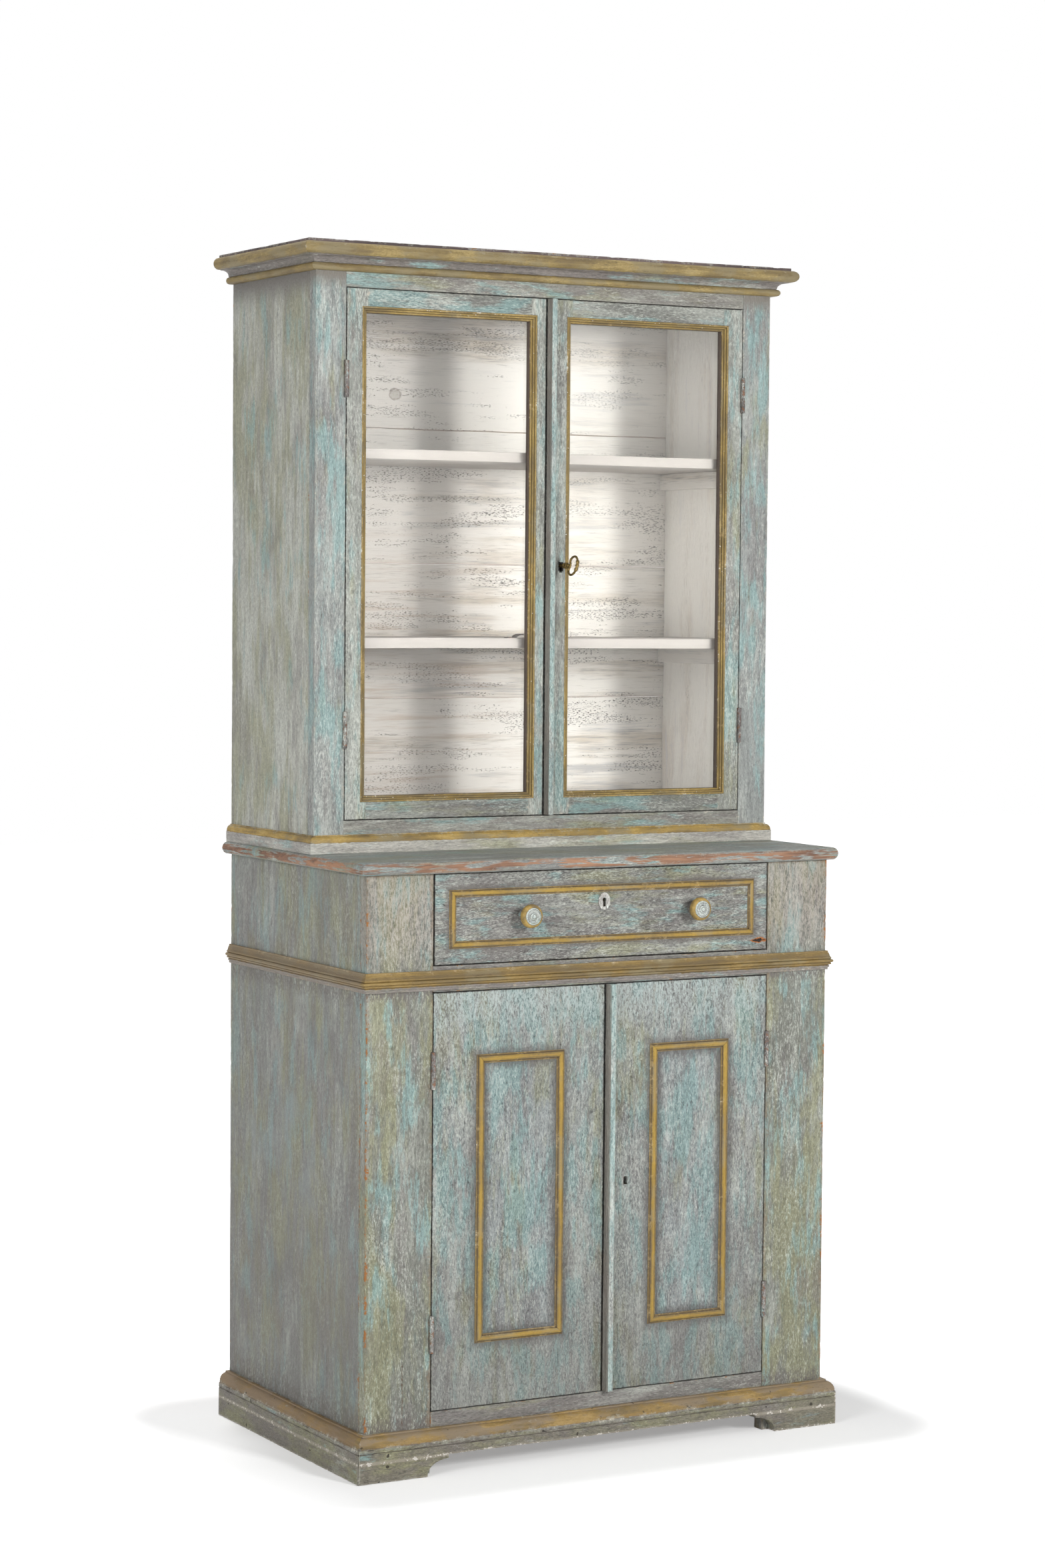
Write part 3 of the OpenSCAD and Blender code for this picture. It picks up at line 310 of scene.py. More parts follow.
# The ground and every coat are lightened on the high points of the relief and darkened in its hollows: painted
# light and shade for the crust.
relief_shading = r.plus(1.0, r.blend((r.less(relief, 0.5), 2.35), (r.less(streak, 0.5), 0.40)))
relief_shading_grey = r.put("CombineColor", Red=relief_shading, Green=relief_shading, Blue=relief_shading).outputs["Color"]
painted = r.mix(1.0, given["Ground"], relief_shading_grey, "MULTIPLY")
coats = (("Chalk", 12, 90, (7, 1, 8), 0.30), ("Olive", 9, 80, (0, 0, 0), 0.60),
         ("Violet", 13, 100, (5, 2, 3), 0.46), ("Blue", 16, 130, (9, 4, 7), 0.64))
for coat, size, thread, shift, cover in coats:
    patch = r.noise(soft_stroke, r.plus(size, r.times(given["Crust"], size * 0.6)), 4, 0.62, 0.3, shift=shift)
    stripes = r.noise(stroke, thread, 4, 0.66, shift=shift)
    field = r.blend((patch, 0.62), (stripes, 0.31), (relief, 0.07))
    edge = r.less(0.62, r.times(given[coat + " Share"], 0.24))
    here = r.times(r.step(field, r.less(edge, 0.05), r.plus(edge, 0.05)), cover)
    painted = r.mix(here, painted, r.mix(1.0, given[coat], relief_shading_grey, "MULTIPLY"))
cloud = r.noise(soft_stroke, 15, 3, 0.6, shift=(2, 8, 6))
chalk_edge = r.less(0.655, r.times(given["Chalk Share"], 0.20))
# Chalky white on the ridges of the relief: partly chalk in the paint, partly a painted highlight.
chalk_and_highlight = r.step(r.blend((cloud, 0.30), (relief, 0.70)), r.less(chalk_edge, 0.03), r.plus(chalk_edge, 0.06))
painted = r.mix(r.times(chalk_and_highlight, 0.54), painted, given["Chalk"])
pit_edge = r.plus(0.25, r.times(given["Pit Share"], 0.14))
pits = r.opposite(r.step(relief, r.less(pit_edge, 0.05), r.plus(pit_edge, 0.03)))
painted = r.mix(r.times(pits, 0.55), painted, given["Pit"])
r.feed(result["Color"], painted)
r.feed(result["Roughness"], r.plus(0.42, r.times(grain, 0.22)))
r.feed(result["Height"], relief)

# Worn arrises: masks for paint rubbed thin along the edges of a board, for its hollows darkened with grime and
# painted shade, and for chips down to the wood. "Low" and "High" are the corners of the board, which its mesh
# carries.
r, given, result = shader_group("worn arrises", {
    "Where": (0, 0, 0), "Low": (0, 0, 0), "High": (1, 1, 1), "Edge": 0.0, "Hollow": 0.0, "Chip": 0.0,
    "Amount": 1.0}, {"Rubbed": "Float", "Dirt And Shade": "Float", "Bare": "Float"})
down = r.put("SeparateXYZ", Vector=r.vector("MINIMUM", r.vector("SUBTRACT", given["Where"], given["Low"]),
                                            r.vector("SUBTRACT", given["High"], given["Where"]))).outputs
least, most = r.calc("MINIMUM", down[0], down[1]), r.calc("MAXIMUM", down[0], down[1])
away = r.calc("MAXIMUM", least, r.calc("MINIMUM", most, down[2]))
spots = r.blend((r.noise(given["Where"], 34, 4, 0.62), 0.55), (r.noise(given["Where"], 190, 4, 0.65), 0.45))
spots = r.plus(spots, r.times(given["Amount"], 0.03))
r.feed(result["Rubbed"], r.step(r.less(spots, r.times(away, 22.0)), 0.47, 0.56))
r.feed(result["Dirt And Shade"], r.step(given["Hollow"], 0.05, 0.6))
bare = r.step(r.less(spots, r.times(away, 21.0)), 0.600, 0.612)
r.feed(result["Bare"], r.calc("MAXIMUM", bare, r.step(r.plus(given["Chip"], r.times(spots, 0.6)), 0.75, 0.85)))

# Bare old softwood: long grain lines and soft bands, darker where it was handled.
r, given, result = shader_group("old softwood", {
    "Where": (0, 0, 0), "Grain": (1, 1, 0.05), "Light": colour("#b09777"), "Dark": colour("#6f5844")},
    layer_sockets)
along = r.vector("MULTIPLY", given["Where"], given["Grain"])
band = r.noise(along, 46, 3, 0.5, 1.2)
line = r.noise(along, 480, 3, 0.6)
blot = r.noise(given["Where"], 6, 3, 0.5)
share = r.step(r.blend((band, 0.45), (line, 0.30), (blot, 0.25)), 0.36, 0.62)
r.feed(result["Color"], r.mix(share, given["Dark"], given["Light"]))
r.feed(result["Roughness"], r.plus(0.66, r.times(line, 0.16)))
r.feed(result["Height"], r.blend((band, 0.35), (line, 0.65)))


class Finish(Recipe):
    """One material while it is mixed, from the ground up: its colour, roughness and relief so far."""

    def __init__(self, name):
        self.material = bpy.data.materials.new(name)
        self.material.use_nodes = True
        super().__init__(self.material.node_tree)
        self.place = self.put("TexCoord").outputs["Object"]
        axes = self.put("SeparateXYZ", Vector=self.place).outputs
        self.x, self.y, self.z = axes["X"], axes["Y"], axes["Z"]
        ragged = self.noise(self.place, 130, 4, 0.65)
        self.ragged = self.less(ragged, 0.5)

    def mark(self, name, output="Fac"):
        """A value that the piece's mesh carries at each point: its board, its edges or its chips."""
        return self.put("Attribute", {"attribute_name": name}).outputs[output]

    def group(self, name, **values):
        """Places a shader group, as a rule board by board; gives its colour, roughness and height."""
        if "Where" not in values:
            values["Where"] = self.board_place()
        made = self.put("Group", {"node_tree": bpy.data.node_groups[name]}, **values)
        return made.outputs["Color"], made.outputs["Roughness"], made.outputs["Height"]

    def board_place(self, spread=7.0):
        """The place, moved by a different amount for each board, so that no grain runs across a joint."""
        far = self.times(self.mark("board"), spread)
        return self.vector("ADD", self.place, self.put("CombineXYZ", X=far, Y=far, Z=far).outputs["Vector"])

    def start(self, layer):
        self.colour, self.roughness, self.height = layer

    def cover(self, share, layer):
        """Lays another layer over the finish where share is 1."""
        self.colour = self.mix(share, self.colour, layer[0])
        for title, value in (("roughness", layer[1]), ("height", layer[2])):
            if value is not None:
                under = getattr(self, title)
                made = self.put("Mix", {"data_type": "FLOAT"})
                for socket, it in zip((made.inputs[0], made.inputs[2], made.inputs[3]), (share, under, value)):
                    self.feed(socket, it)
                setattr(self, title, made.outputs[0])

    def stain(self, code, mask, amount=None, roughness=None):
        """Lays one colour over the finish where the mask is 1, no thicker than the amount."""
        share = mask if amount is None else self.times(mask, amount)
        self.cover(share, (colour(code), roughness, None))

    def above(self, value, place, soft=0.0006, ragged=0.004):
        """1 where value is above place, with a hand-painted, slightly ragged edge."""
        moved = self.plus(value, self.times(self.ragged, ragged))
        return self.step(moved, place - soft, place + soft)

    def band(self, value, low, high, soft=0.0006, ragged=0.004):
        return self.times(self.above(value, low, soft, ragged),
                          self.opposite(self.above(value, high, soft, ragged)))

    def near(self, value, place, reach, ragged=0.02):
        """1 at place and 0 from reach on, either side of it."""
        away = self.size(self.less(value, place))
        away = self.plus(away, self.times(self.ragged, ragged))
        return self.opposite(self.step(away, 0.0, reach))

    def off_frame(self, low, high, inset=0.0):
        """How far a place is outside (or, below 0, inside) the box from low to high, seen from the front."""
        sides = []
        for value, a, b in ((self.x, low.x + inset, high.x - inset), (self.z, low.z + inset, high.z - inset)):
            middle = self.size(self.less(value, (a + b) / 2))
            sides.append(self.less(middle, (b - a) / 2))
        return self.calc("MAXIMUM", *sides)

    def near_frame(self, low, high, reach, ragged=0.02, inset=0.0):
        """1 along the outline of that box and 0 from reach on."""
        return self.near(self.off_frame(low, high, inset), 0.0, reach, ragged)

    def wear(self, chip_colour, amount=1.0, dark=0.8, rubbed="#b4b5aa", dirt_and_shade="#4c443e", where=1.0):
        """Paint rubbed through or chipped at the arrises, and the hollows darkened with grime and painted shade.
        """
        masks = self.put("Group", {"node_tree": bpy.data.node_groups["worn arrises"]}, Where=self.place,
                         Low=self.mark("low", "Vector"), High=self.mark("high", "Vector"), Edge=self.mark("edge"),
                         Hollow=self.mark("hollow"), Chip=self.mark("chip"), Amount=amount).outputs
        self.stain(rubbed, masks["Rubbed"], 0.40)
        # Concave edges are darkened: grime and painted shade.
        self.stain(dirt_and_shade, masks["Dirt And Shade"], dark)
        self.cover(self.times(masks["Bare"], where), (chip_colour, 0.8, None))

    def gap(self, node, reach):
        """Paints shadow where the front of a door or drawer meets its frame: a dark line at the front arris and
        greyer shade on the edge faces behind it.
        """
        low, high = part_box(node)
        mask, front = self.near_frame(low, high, reach, 0.003), low.y
        self.stain("#2f2a28", self.times(mask, self.step(self.y, front + 0.0055, front + 0.002)), roughness=0.9)
        self.stain("#756c62", self.times(mask, self.step(self.y, front + 0.0055, front + 0.008)), roughness=0.85)

    def done(self, depth=0.0036, strength=1.0, **settings):
        shader = self.tree.nodes["Principled BSDF"]
        self.feed(shader.inputs["Base Color"], self.colour)
        self.feed(shader.inputs["Roughness"], self.roughness)
        for name, value in settings.items():
            shader.inputs[name.replace("_", " ")].default_value = value
        bump = self.put("Bump", Height=self.height, Strength=strength, Distance=depth)
        self.feed(shader.inputs["Normal"], bump.outputs["Normal"])
        return self.material


slow_wander, quick_wander, still_zone = 0.0007, 0.00018, 0.07
lock_places = [(low + high) / 2 for low, high in
               map(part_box, ("upper_lock_bolt", "lower_lock_bolt", "drawer_lock_bolt"))]


def worn_piece(node, material, cuts=(None, None, None), arris=0.0010, chips=0.0012, lift=1.0):
    """The CAD node with worn arrises, chipped edges and faces that have moved a little with age.
    cuts are the lengths of the small facets along x, y and z. The wander is one field for the whole
    piece of furniture, so parts that touch stay in touch and gaps keep their width. It dies away
    near the locks, whose bolts need their pockets where they are."""
    source = frame["nodes"][node]
    body = bmesh.new()
    body.from_mesh(source.data)
    bmesh.ops.remove_doubles(body, verts=body.verts, dist=1e-5)
    bmesh.ops.dissolve_limit(body, angle_limit=radians(0.8), verts=body.verts, edges=body.edges)
    sharp = [e for e in body.edges if len(e.link_faces) == 2 and e.calc_face_angle(0) > radians(40)]
    bmesh.ops.bevel(body, geom=sharp, offset=arris, offset_type="OFFSET", segments=2, profile=0.5,
                    affect="EDGES", clamp_overlap=True)
    low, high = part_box(node)
    for axis, pitch in enumerate(cuts):
        if pitch:
            count = ceil((high[axis] - low[axis]) / pitch)
            for i in range(1, count):
                at = low.copy()
                at[axis] += (high[axis] - low[axis]) * i / count
                normal = Vector((0, 0, 0))
                normal[axis] = 1
                bmesh.ops.bisect_plane(body, geom=body.verts[:] + body.edges[:] + body.faces[:],
                                       plane_co=at, plane_no=normal, dist=1e-6)
    body.normal_update()
    layers = body.verts.layers
    board, edge, hollow, chip = (layers.float.new(name) for name in ("board", "edge", "hollow", "chip"))
    low_mark, high_mark = (layers.float_vector.new(name) for name in ("low", "high"))
    body.verts.index_update()
    seen, count = set(), 0
    for start in body.verts:
        if start.index in seen:
            continue
        seen.add(start.index)
        group, count = [start], count + 1
        for v in group:
            for e in v.link_edges:
                other = e.other_vert(v)
                if other.index not in seen:
                    seen.add(other.index)
                    group.append(other)
        board_low, board_high = (Vector(pick(v.co[i] for v in group) for i in range(3)) for pick in (min, max))
        for v in group:
            v[board], v[low_mark], v[high_mark] = count, board_low, board_high
    moves = []
    for v in body.verts:
        out = into = 0.0
        for e in v.link_edges:
            if len(e.link_faces) == 2:
                bend = e.calc_face_angle_signed(0)
                out, into = max(out, bend), max(into, -bend)
        v[edge], v[hollow] = (min(max((bend - 0.45) / 0.3, 0), 1) for bend in (out, into))
        to_lock = min((v.co - place).length for place in lock_places)
        wander = noise.noise_vector(v.co * 4.5) * slow_wander + noise.noise_vector(v.co * 36) * quick_wander
        wander *= min(max(to_lock / still_zone - 0.4, 0), 1)
        depth = 0.0
        if out > 0.3:
            depth = min(max(0.0, noise.noise(v.co * 42) * 0.9 + noise.noise(v.co * 210) * 0.6 - 0.22) * 2.2, 1)
            v[chip] = depth * v[edge]
        moves.append(wander * lift - v.normal * depth * (0.4 + 0.6 * v[edge]) * chips)
    for v, move in zip(body.verts, moves):
        v.co = [min(max(c, a), b) for c, a, b in zip(v.co + move, cad_low, cad_high)]
    corners = [tuple(v.index for v in f.verts) for f in body.faces]
    corners = sorted(c[c.index(min(c)):] + c[:c.index(min(c))] for c in corners)
    mesh = bpy.data.meshes.new(node + "_worn")
    mesh.from_pydata([v.co for v in body.verts], [], corners)
    for name, layer in (("board", board), ("edge", edge), ("hollow", hollow), ("chip", chip)):
        mesh.attributes.new(name, "FLOAT", "POINT").data.foreach_set("value", [v[layer] for v in body.verts])
    for name, layer in (("low", low_mark), ("high", high_mark)):
        mesh.attributes.new(name, "FLOAT_VECTOR", "POINT").data.foreach_set(
            "vector", [c for v in body.verts for c in v[layer]])
    body.free()
    mesh.shade_smooth()
    mesh.set_sharp_from_angle(angle=radians(50))
    made = bpy.data.objects.new(node + "_worn", mesh)
    scene.collection.objects.link(made)
    mesh.materials.append(material)
    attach(made, source["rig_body"])
    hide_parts(node)
    return made


upright, across, level_round = (1.0, 1.0, 0.11), (0.11, 1.0, 1.0), (0.09, 0.09, 1.0)
bare_wood, white_ground = colour("#a9713d"), colour("#cfcabd")


def distemper(name, strokes, ground, blue, olive, violet, chalk, pits=0.2, crust=0.5, joined=False, **colours):
    """A finish that starts with brushed distemper in the given shares."""
    made = Finish(name)
    made.start(made.group("brushed distemper", Where=made.place if joined else made.board_place(),
                          Strokes=strokes, Ground=colour(ground), Blue_Share=blue, Olive_Share=olive,
                          Violet_Share=violet, Chalk_Share=chalk, Pit_Share=pits, Crust=crust, **colours))
    return made


def inner_face(finish):
    """1 on the face of a case's side board that looks into the case."""
    side_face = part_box("lower_side_right")[0].x
    return finish.step(finish.size(finish.x), side_face + 0.003, side_face + 0.002)


paint = distemper("lower side paint", upright, "#8d8f8a", 0.26, 0.46, 0.42, 0.30, 0.30, 0.4,
                  Blue=colour("#8da6a6"))
cloud = paint.noise(paint.vector("MULTIPLY", paint.place, (1.0, 1.0, 0.7)), 7.5, 4, 0.55)
for middle, reach, code, share in ((0.57, 0.70, "#a3aeb0", 0.42), (0.45, 0.34, "#6d6b67", 0.36)):
    paint.stain(code, paint.step(cloud, middle, reach), share)
# Painted shade in the hollows of the paint beside the plinth and waist mouldings.
painted_shade = paint.calc("MAXIMUM", paint.near(paint.z, 0.085, 0.05), paint.near(paint.z, 0.82, 0.03))
paint.stain("#6d6863", paint.times(painted_shade, paint.step(paint.height, 0.66, 0.40)))
# Painted shade: the side board is darker towards the bottom.
paint.stain("#66625d", paint.step(paint.z, 0.85, 0.10), 0.30)
paint.wear(bare_wood)
paint.cover(inner_face(paint), paint.group("old softwood", Grain=upright))
lower_side_paint = paint.done()
for node in ("lower_side_left", "lower_side_right"):
    worn_piece(node, lower_side_paint, (None, 0.040, 0.006), 0.0012, 0.0016)

# The stiles of the lower case, one wide board at each side of the front, and the two rails between
# them. Glued and nailed to the side boards; cream and yellow-green coats show most here.

paint = distemper("lower stile paint", upright, "#82847b", 0.28, 0.50, 0.26, 0.34, 0.18, 0.5)
# Painted shade in the hollows of the paint beside the plinth and waist mouldings.
painted_shade = paint.calc("MAXIMUM", paint.near(paint.z, 0.085, 0.03), paint.near(paint.z, 0.825, 0.02))
paint.stain("#726c68", paint.times(painted_shade, paint.step(paint.height, 0.66, 0.40)))
paint.stain("#bbb0a7", paint.times(paint.above(paint.z, 0.88, 0.05, 0.05),
                                   paint.step(paint.height, 0.38, 0.60)), 0.60)
crack = paint.near(paint.plus(paint.x, paint.times(paint.z, 0.006)), -0.3902, 0.0012, 0.006)
crack = paint.times(crack, paint.band(paint.z, 0.087, 0.190, 0.004, 0.03))
paint.stain("#5d3f2b", crack, 0.8, 0.9)
paint.wear(bare_wood, 2.6, rubbed="#8d7357", where=paint.step(paint.size(paint.x), 0.452, 0.456))
worn_piece("lower_stiles", paint.done(), (0.040, None, 0.005), 0.0014, 0.0022)

paint = distemper("lower rail paint", across, "#8b8983", 0.08, 0.25, 0.60, 0.25, 0.35, 0.35)
paint.wear(bare_wood)
worn_piece("lower_rails", paint.done(), (0.008, None, None), 0.0010, 0.0012, 0.4)

# Inside the lower case: the bottom board, the back of upright boards, one shelf on cleats and the
# runners that carry the drawer. All bare softwood, nailed.


def board_wood(name, grain):
    wood = Finish(name)
    wood.start(wood.group("old softwood", Grain=grain))
    wood.wear(colour("#a8825a"), 0.7, 0.5)
    return wood.done(0.0008)


level_grain = (0.05, 1.0, 1.0)
wide_board_wood = board_wood("bare wide boards", level_grain)
deep_board_wood = board_wood("bare deep boards", (1.0, 0.05, 1.0))
for node in ("lower_deck", "lower_shelf", "lower_back_boards"):
    worn_piece(node, wide_board_wood, (0.040, None, None), 0.0012, 0.0010)
worn_piece("drawer_runners", deep_board_wood, (None, 0.040, None), 0.0012, 0.0010)

# The mouldings round the lower case. They were planed in the solid with hollow and round planes,
# mitred at the corners, nailed on and painted ochre over the grey-green.

r, given, result = shader_group("ochre glaze", {
    "Where": (0, 0, 0), "Strokes": (1, 1, 0.08), "Ochre": colour("#a78a45"), "Light": colour("#c3a86c"),
    "Brown": colour("#6d5d3d"), "Green": colour("#83785b"), "Dull": 0.3}, layer_sockets)
stroke = r.vector("MULTIPLY", given["Where"], given["Strokes"])
soft_stroke = r.softened(given["Where"], given["Strokes"], 0.6)
fibre = r.noise(stroke, 620, 3, 0.6)
streak = r.noise(stroke, 130, 3, 0.6, shift=(2.2, 5.1, 3.3))
patch = r.noise(soft_stroke, 26, 4, 0.6)
grain = r.noise(soft_stroke, 420, 4, 0.72)
relief = r.blend((fibre, 0.30), (streak, 0.25), (grain, 0.45))
coat = r.mix(r.step(r.blend((streak, 0.45), (patch, 0.55)), 0.34, 0.60), given["Brown"], given["Ochre"])
coat = r.mix(r.times(r.step(r.blend((relief, 0.65), (patch, 0.35)), 0.50, 0.60), 0.65), coat, given["Light"])
other = r.noise(soft_stroke, 24, 4, 0.62, shift=(8.2, 1.1, 6.3))
dull_edge = r.less(0.62, r.times(given["Dull"], 0.22))
coat = r.mix(r.times(r.step(r.blend((other, 0.7), (streak, 0.3)), r.less(dull_edge, 0.05),
                            r.plus(dull_edge, 0.05)), 0.75), coat, given["Green"])
specks = r.opposite(r.step(relief, 0.38, 0.45))
r.feed(result["Color"], r.mix(r.times(specks, 0.65), coat, colour("#54472f")))
r.feed(result["Roughness"], r.plus(0.50, r.times(grain, 0.25)))
r.feed(result["Height"], relief)


def ochre(finish, strokes, dull=0.3, **colours):
    return finish.group("ochre glaze", Strokes=strokes, Dull=dull, **colours)


def moulding_ground(name):
    return distemper(name, level_round, "#857f76", 0.02, 0.15, 0.75, 0.12, 0.3, 0.2)


def side_run(finish, node, start, full):
    """1 on the runs of a moulding along the sides of the case."""
    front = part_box(node)[0].y
    return finish.step(finish.y, front + start, front + full)


def nail_pits(finish, fineness, edge, code, amount):
    pits = finish.step(finish.noise(finish.place, fineness, 1, 0.5), edge, edge + 0.015)
    finish.stain(code, pits, amount, 0.9)


def nailed_moulding(node, finish, chips=0.0010):
    worn_piece(node, finish.done(0.0020), (0.008, 0.008, None), 0.0004, chips)


paint = moulding_ground("waist paint")
waist_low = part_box("waist_moulding")[0].z
paint.cover(paint.above(paint.z, waist_low + 0.0075, 0.001, 0.008),
            ochre(paint, level_round, 0.32, Ochre=colour("#826a37"), Light=colour("#9d8552")))
paint.stain("#857869", side_run(paint, "waist_moulding", 0.012, 0.016), 0.42)
paint.wear(white_ground, 0.7, 0.40, "#bfae8c", "#5f4f38")
nailed_moulding("waist_moulding", paint)

paint = distemper("plinth paint", (0.25, 0.25, 1.0), "#837e70", 0.06, 0.46, 0.46, 0.10, 0.30, 0.3)
low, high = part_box("plinth_boards")
foot_cut = 0.035
corner = paint.calc("MAXIMUM", paint.less(high.x, paint.size(paint.x)), paint.less(paint.y, low.y))
foot = paint.calc("MINIMUM", paint.z, paint.size(paint.less(paint.z, foot_cut)))
rim = paint.calc("MINIMUM", corner, foot)
paint.stain("#b0a797", paint.step(rim, 0.0045, 0.001), 0.75)
paint.wear(white_ground, 1.6, 0.8)
flakes = paint.less(paint.blend((paint.noise(paint.place, 60, 3, 0.6), 0.5),
                                (paint.noise(paint.place, 240, 3, 0.6), 0.5)), paint.times(rim, 28.0))
paint.stain("#e9e3da", paint.step(flakes, 0.522, 0.532), roughness=0.85)
nail_pits(paint, 62, 0.735, "#2e2723", 0.85)
worn_piece("plinth_boards", paint.done(), (0.006, 0.006, None), 0.0011, 0.0022)

paint = moulding_ground("plinth moulding paint")
paint.cover(paint.above(paint.z, 0.0595, 0.001, 0.006),
            ochre(paint, level_round, 0.60, Ochre=colour("#947840"), Light=colour("#a98f5d"),
                  Green=colour("#7e7160")))
paint.stain("#7d6448", side_run(paint, "plinth_moulding", 0.018, 0.024), 0.45)
nail_pits(paint, 75, 0.74, "#332a22", 0.80)
paint.wear(white_ground, 1.8, 0.9)
nailed_moulding("plinth_moulding", paint)

# The table top of the lower case, softwood boards with a rounded front edge. The paint is thin, and
# hands have rubbed the edge down to reddish wood.

paint = distemper("table paint", (0.10, 1.0, 1.0), "#9ba09c", 0.15, 0.34, 0.36, 0.30, 0.45, 0.4)
low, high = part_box("table_top")
edge_zone = paint.calc("MAXIMUM", paint.step(paint.y, low.y + 0.006, low.y + 0.002),
                       paint.step(paint.size(paint.x), high.x - 0.006, high.x - 0.002))
rubbed = paint.group("old softwood", Where=paint.place, Grain=(0.05, 0.3, 1.0), Light=colour("#ab8266"),
                     Dark=colour("#63483a"))
along = paint.vector("MULTIPLY", paint.place, (0.1, 0.1, 1.0))
share = paint.step(paint.noise(along, 160, 3, 0.6), 0.42, 0.52)
paint.cover(paint.times(edge_zone, share), rubbed)
paint.wear(colour("#a9784f"), 1.4)
worn_piece("table_top", paint.done(), (0.008, 0.030, None), 0.0006, 0.0018)

# The side boards of the upper case, one softwood board each, rebated for the back boards. They are
# painted outside as below and limed white inside.

r, given, result = shader_group("limed boards", {
    "Where": (0, 0, 0), "Grain": (0.05, 1, 1), "White": colour("#dcd7d1"), "Cream": colour("#c1b5a5"),
    "Blue": colour("#a3a4a9"), "Grey": colour("#857d76"), "Pit": colour("#39312b"), "Pits": 0.5}, layer_sockets)
along = r.vector("MULTIPLY", given["Where"], given["Grain"])
half = r.softened(given["Where"], given["Grain"], 0.75)
line = r.noise(along, 520, 3, 0.65)
band = r.noise(along, 70, 4, 0.6, 0.4, shift=(1.2, 3.4, 0.6))
wide = r.noise(along, 20, 3, 0.5, shift=(4.2, 0.4, 2.6))
haze = r.noise(given["Where"], 5, 3, 0.5, shift=(6.1, 2.2, 9.0))
lime = r.mix(r.step(r.blend((wide, 0.35), (haze, 0.35), (band, 0.3)), 0.49, 0.62), given["White"], given["Cream"])
lime = r.mix(r.times(r.step(r.blend((band, 0.45), (haze, 0.30), (line, 0.25)), 0.52, 0.64), 0.7), lime,
             given["Blue"])
lime = r.mix(r.times(r.step(r.blend((line, 0.6), (wide, 0.4)), 0.52, 0.66), 0.5), lime, given["Grey"])
short = r.noise(half, 690, 1, 0.5)
group_of = r.blend((r.noise(along, 90, 2, 0.5, shift=(7.7, 2.1, 5.0)), 0.40),
                   (r.noise(half, 16, 3, 0.6, shift=(2.7, 8.1, 1.0)), 0.60))
crowd_edge = r.less(0.62, r.times(given["Pits"], 0.15))
crowd = r.step(group_of, crowd_edge, r.plus(crowd_edge, 0.09))
dash_edge = r.less(0.77, r.times(crowd, 0.20))
dashes = r.step(short, dash_edge, r.plus(dash_edge, 0.025))
r.feed(result["Color"], r.mix(r.times(dashes, 0.88), lime, given["Pit"]))
r.feed(result["Roughness"], r.plus(0.66, r.times(line, 0.2)))
r.feed(result["Height"], r.less(r.blend((line, 0.6), (band, 0.2)), r.times(dashes, 0.6)))

paint = distemper("upper side paint", upright, "#c0c1b7", 0.22, 0.46, 0.28, 0.34, 0.38, 0.4)
# Painted shade just under the cornice.
paint.stain("#7d7974", paint.near(paint.z, 2.045, 0.05))
paint.wear(bare_wood)
paint.cover(inner_face(paint),
            paint.group("limed boards", Grain=upright, Pits=0.1, White=colour("#f4f0ea"),
                        Cream=colour("#e8dfd4"), Blue=colour("#dfdddf"), Grey=colour("#c6bfb7")))
upper_side_paint = paint.done()
for node in ("upper_side_left", "upper_side_right"):
    worn_piece(node, upper_side_paint, (None, 0.040, 0.006), 0.0012, 0.0014)

# The stiles and rails of the upper case, softwood glued and nailed to the side boards, streaked
# upright with blue-green, lilac grey and cream.

paint = distemper("upper stile paint", upright, "#9b9f9c", 0.36, 0.22, 0.32, 0.42, 0.32, 0.25)
# Painted shade just under the cornice.
paint.stain("#87827a", paint.near(paint.z, 2.045, 0.03))
paint.wear(white_ground, 1.1)
worn_piece("upper_stiles", paint.done(), (0.040, None, 0.005), 0.0012, 0.0016)

paint = distemper("upper rail paint", across, "#98968e", 0.26, 0.30, 0.42, 0.28, 0.35, 0.25)
paint.wear(white_ground)
worn_piece("upper_rails", paint.done(), (0.008, None, None), 0.0010, 0.0012)

# Inside the upper case: bottom board, back boards laid level, and two shelves with a small catch.
# All of it was limed white over old paint, which shows as rows of short dark pits along the grain.

lime = Finish("limed shelf boards")
lime.start(lime.group("limed boards", Grain=level_grain, Pits=0.05, White=colour("#b9b3ae"),
                      Cream=colour("#b0a69c"), Blue=colour("#aeabac")))
shelf_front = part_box("upper_shelves")[0].y
lime.stain("#9f9893", lime.times(lime.step(lime.y, shelf_front + 0.003, shelf_front + 0.001),
                                 lime.step(lime.z, 1.2, 1.25)), 0.95)
limed_shelf = lime.done(0.0006)
for node in ("upper_deck", "upper_shelves"):
    worn_piece(node, limed_shelf, (0.040, None, None), 0.0008, 0.0006)

lime = Finish("shelf cleats")
lime.start(lime.group("limed boards", Grain=(0.3, 0.05, 1.0), Pits=0.05))
lime.cover(lime.step(lime.z, 1.2, 1.1), lime.group("old softwood", Grain=(0.3, 0.05, 1.0)))
worn_piece("shelf_cleats", lime.done(0.0006), (None, 0.030, None), 0.0010, 0.0008)

lime = Finish("limed back boards")
lime.start(lime.group("limed boards", Grain=level_grain, Pits=0.9))
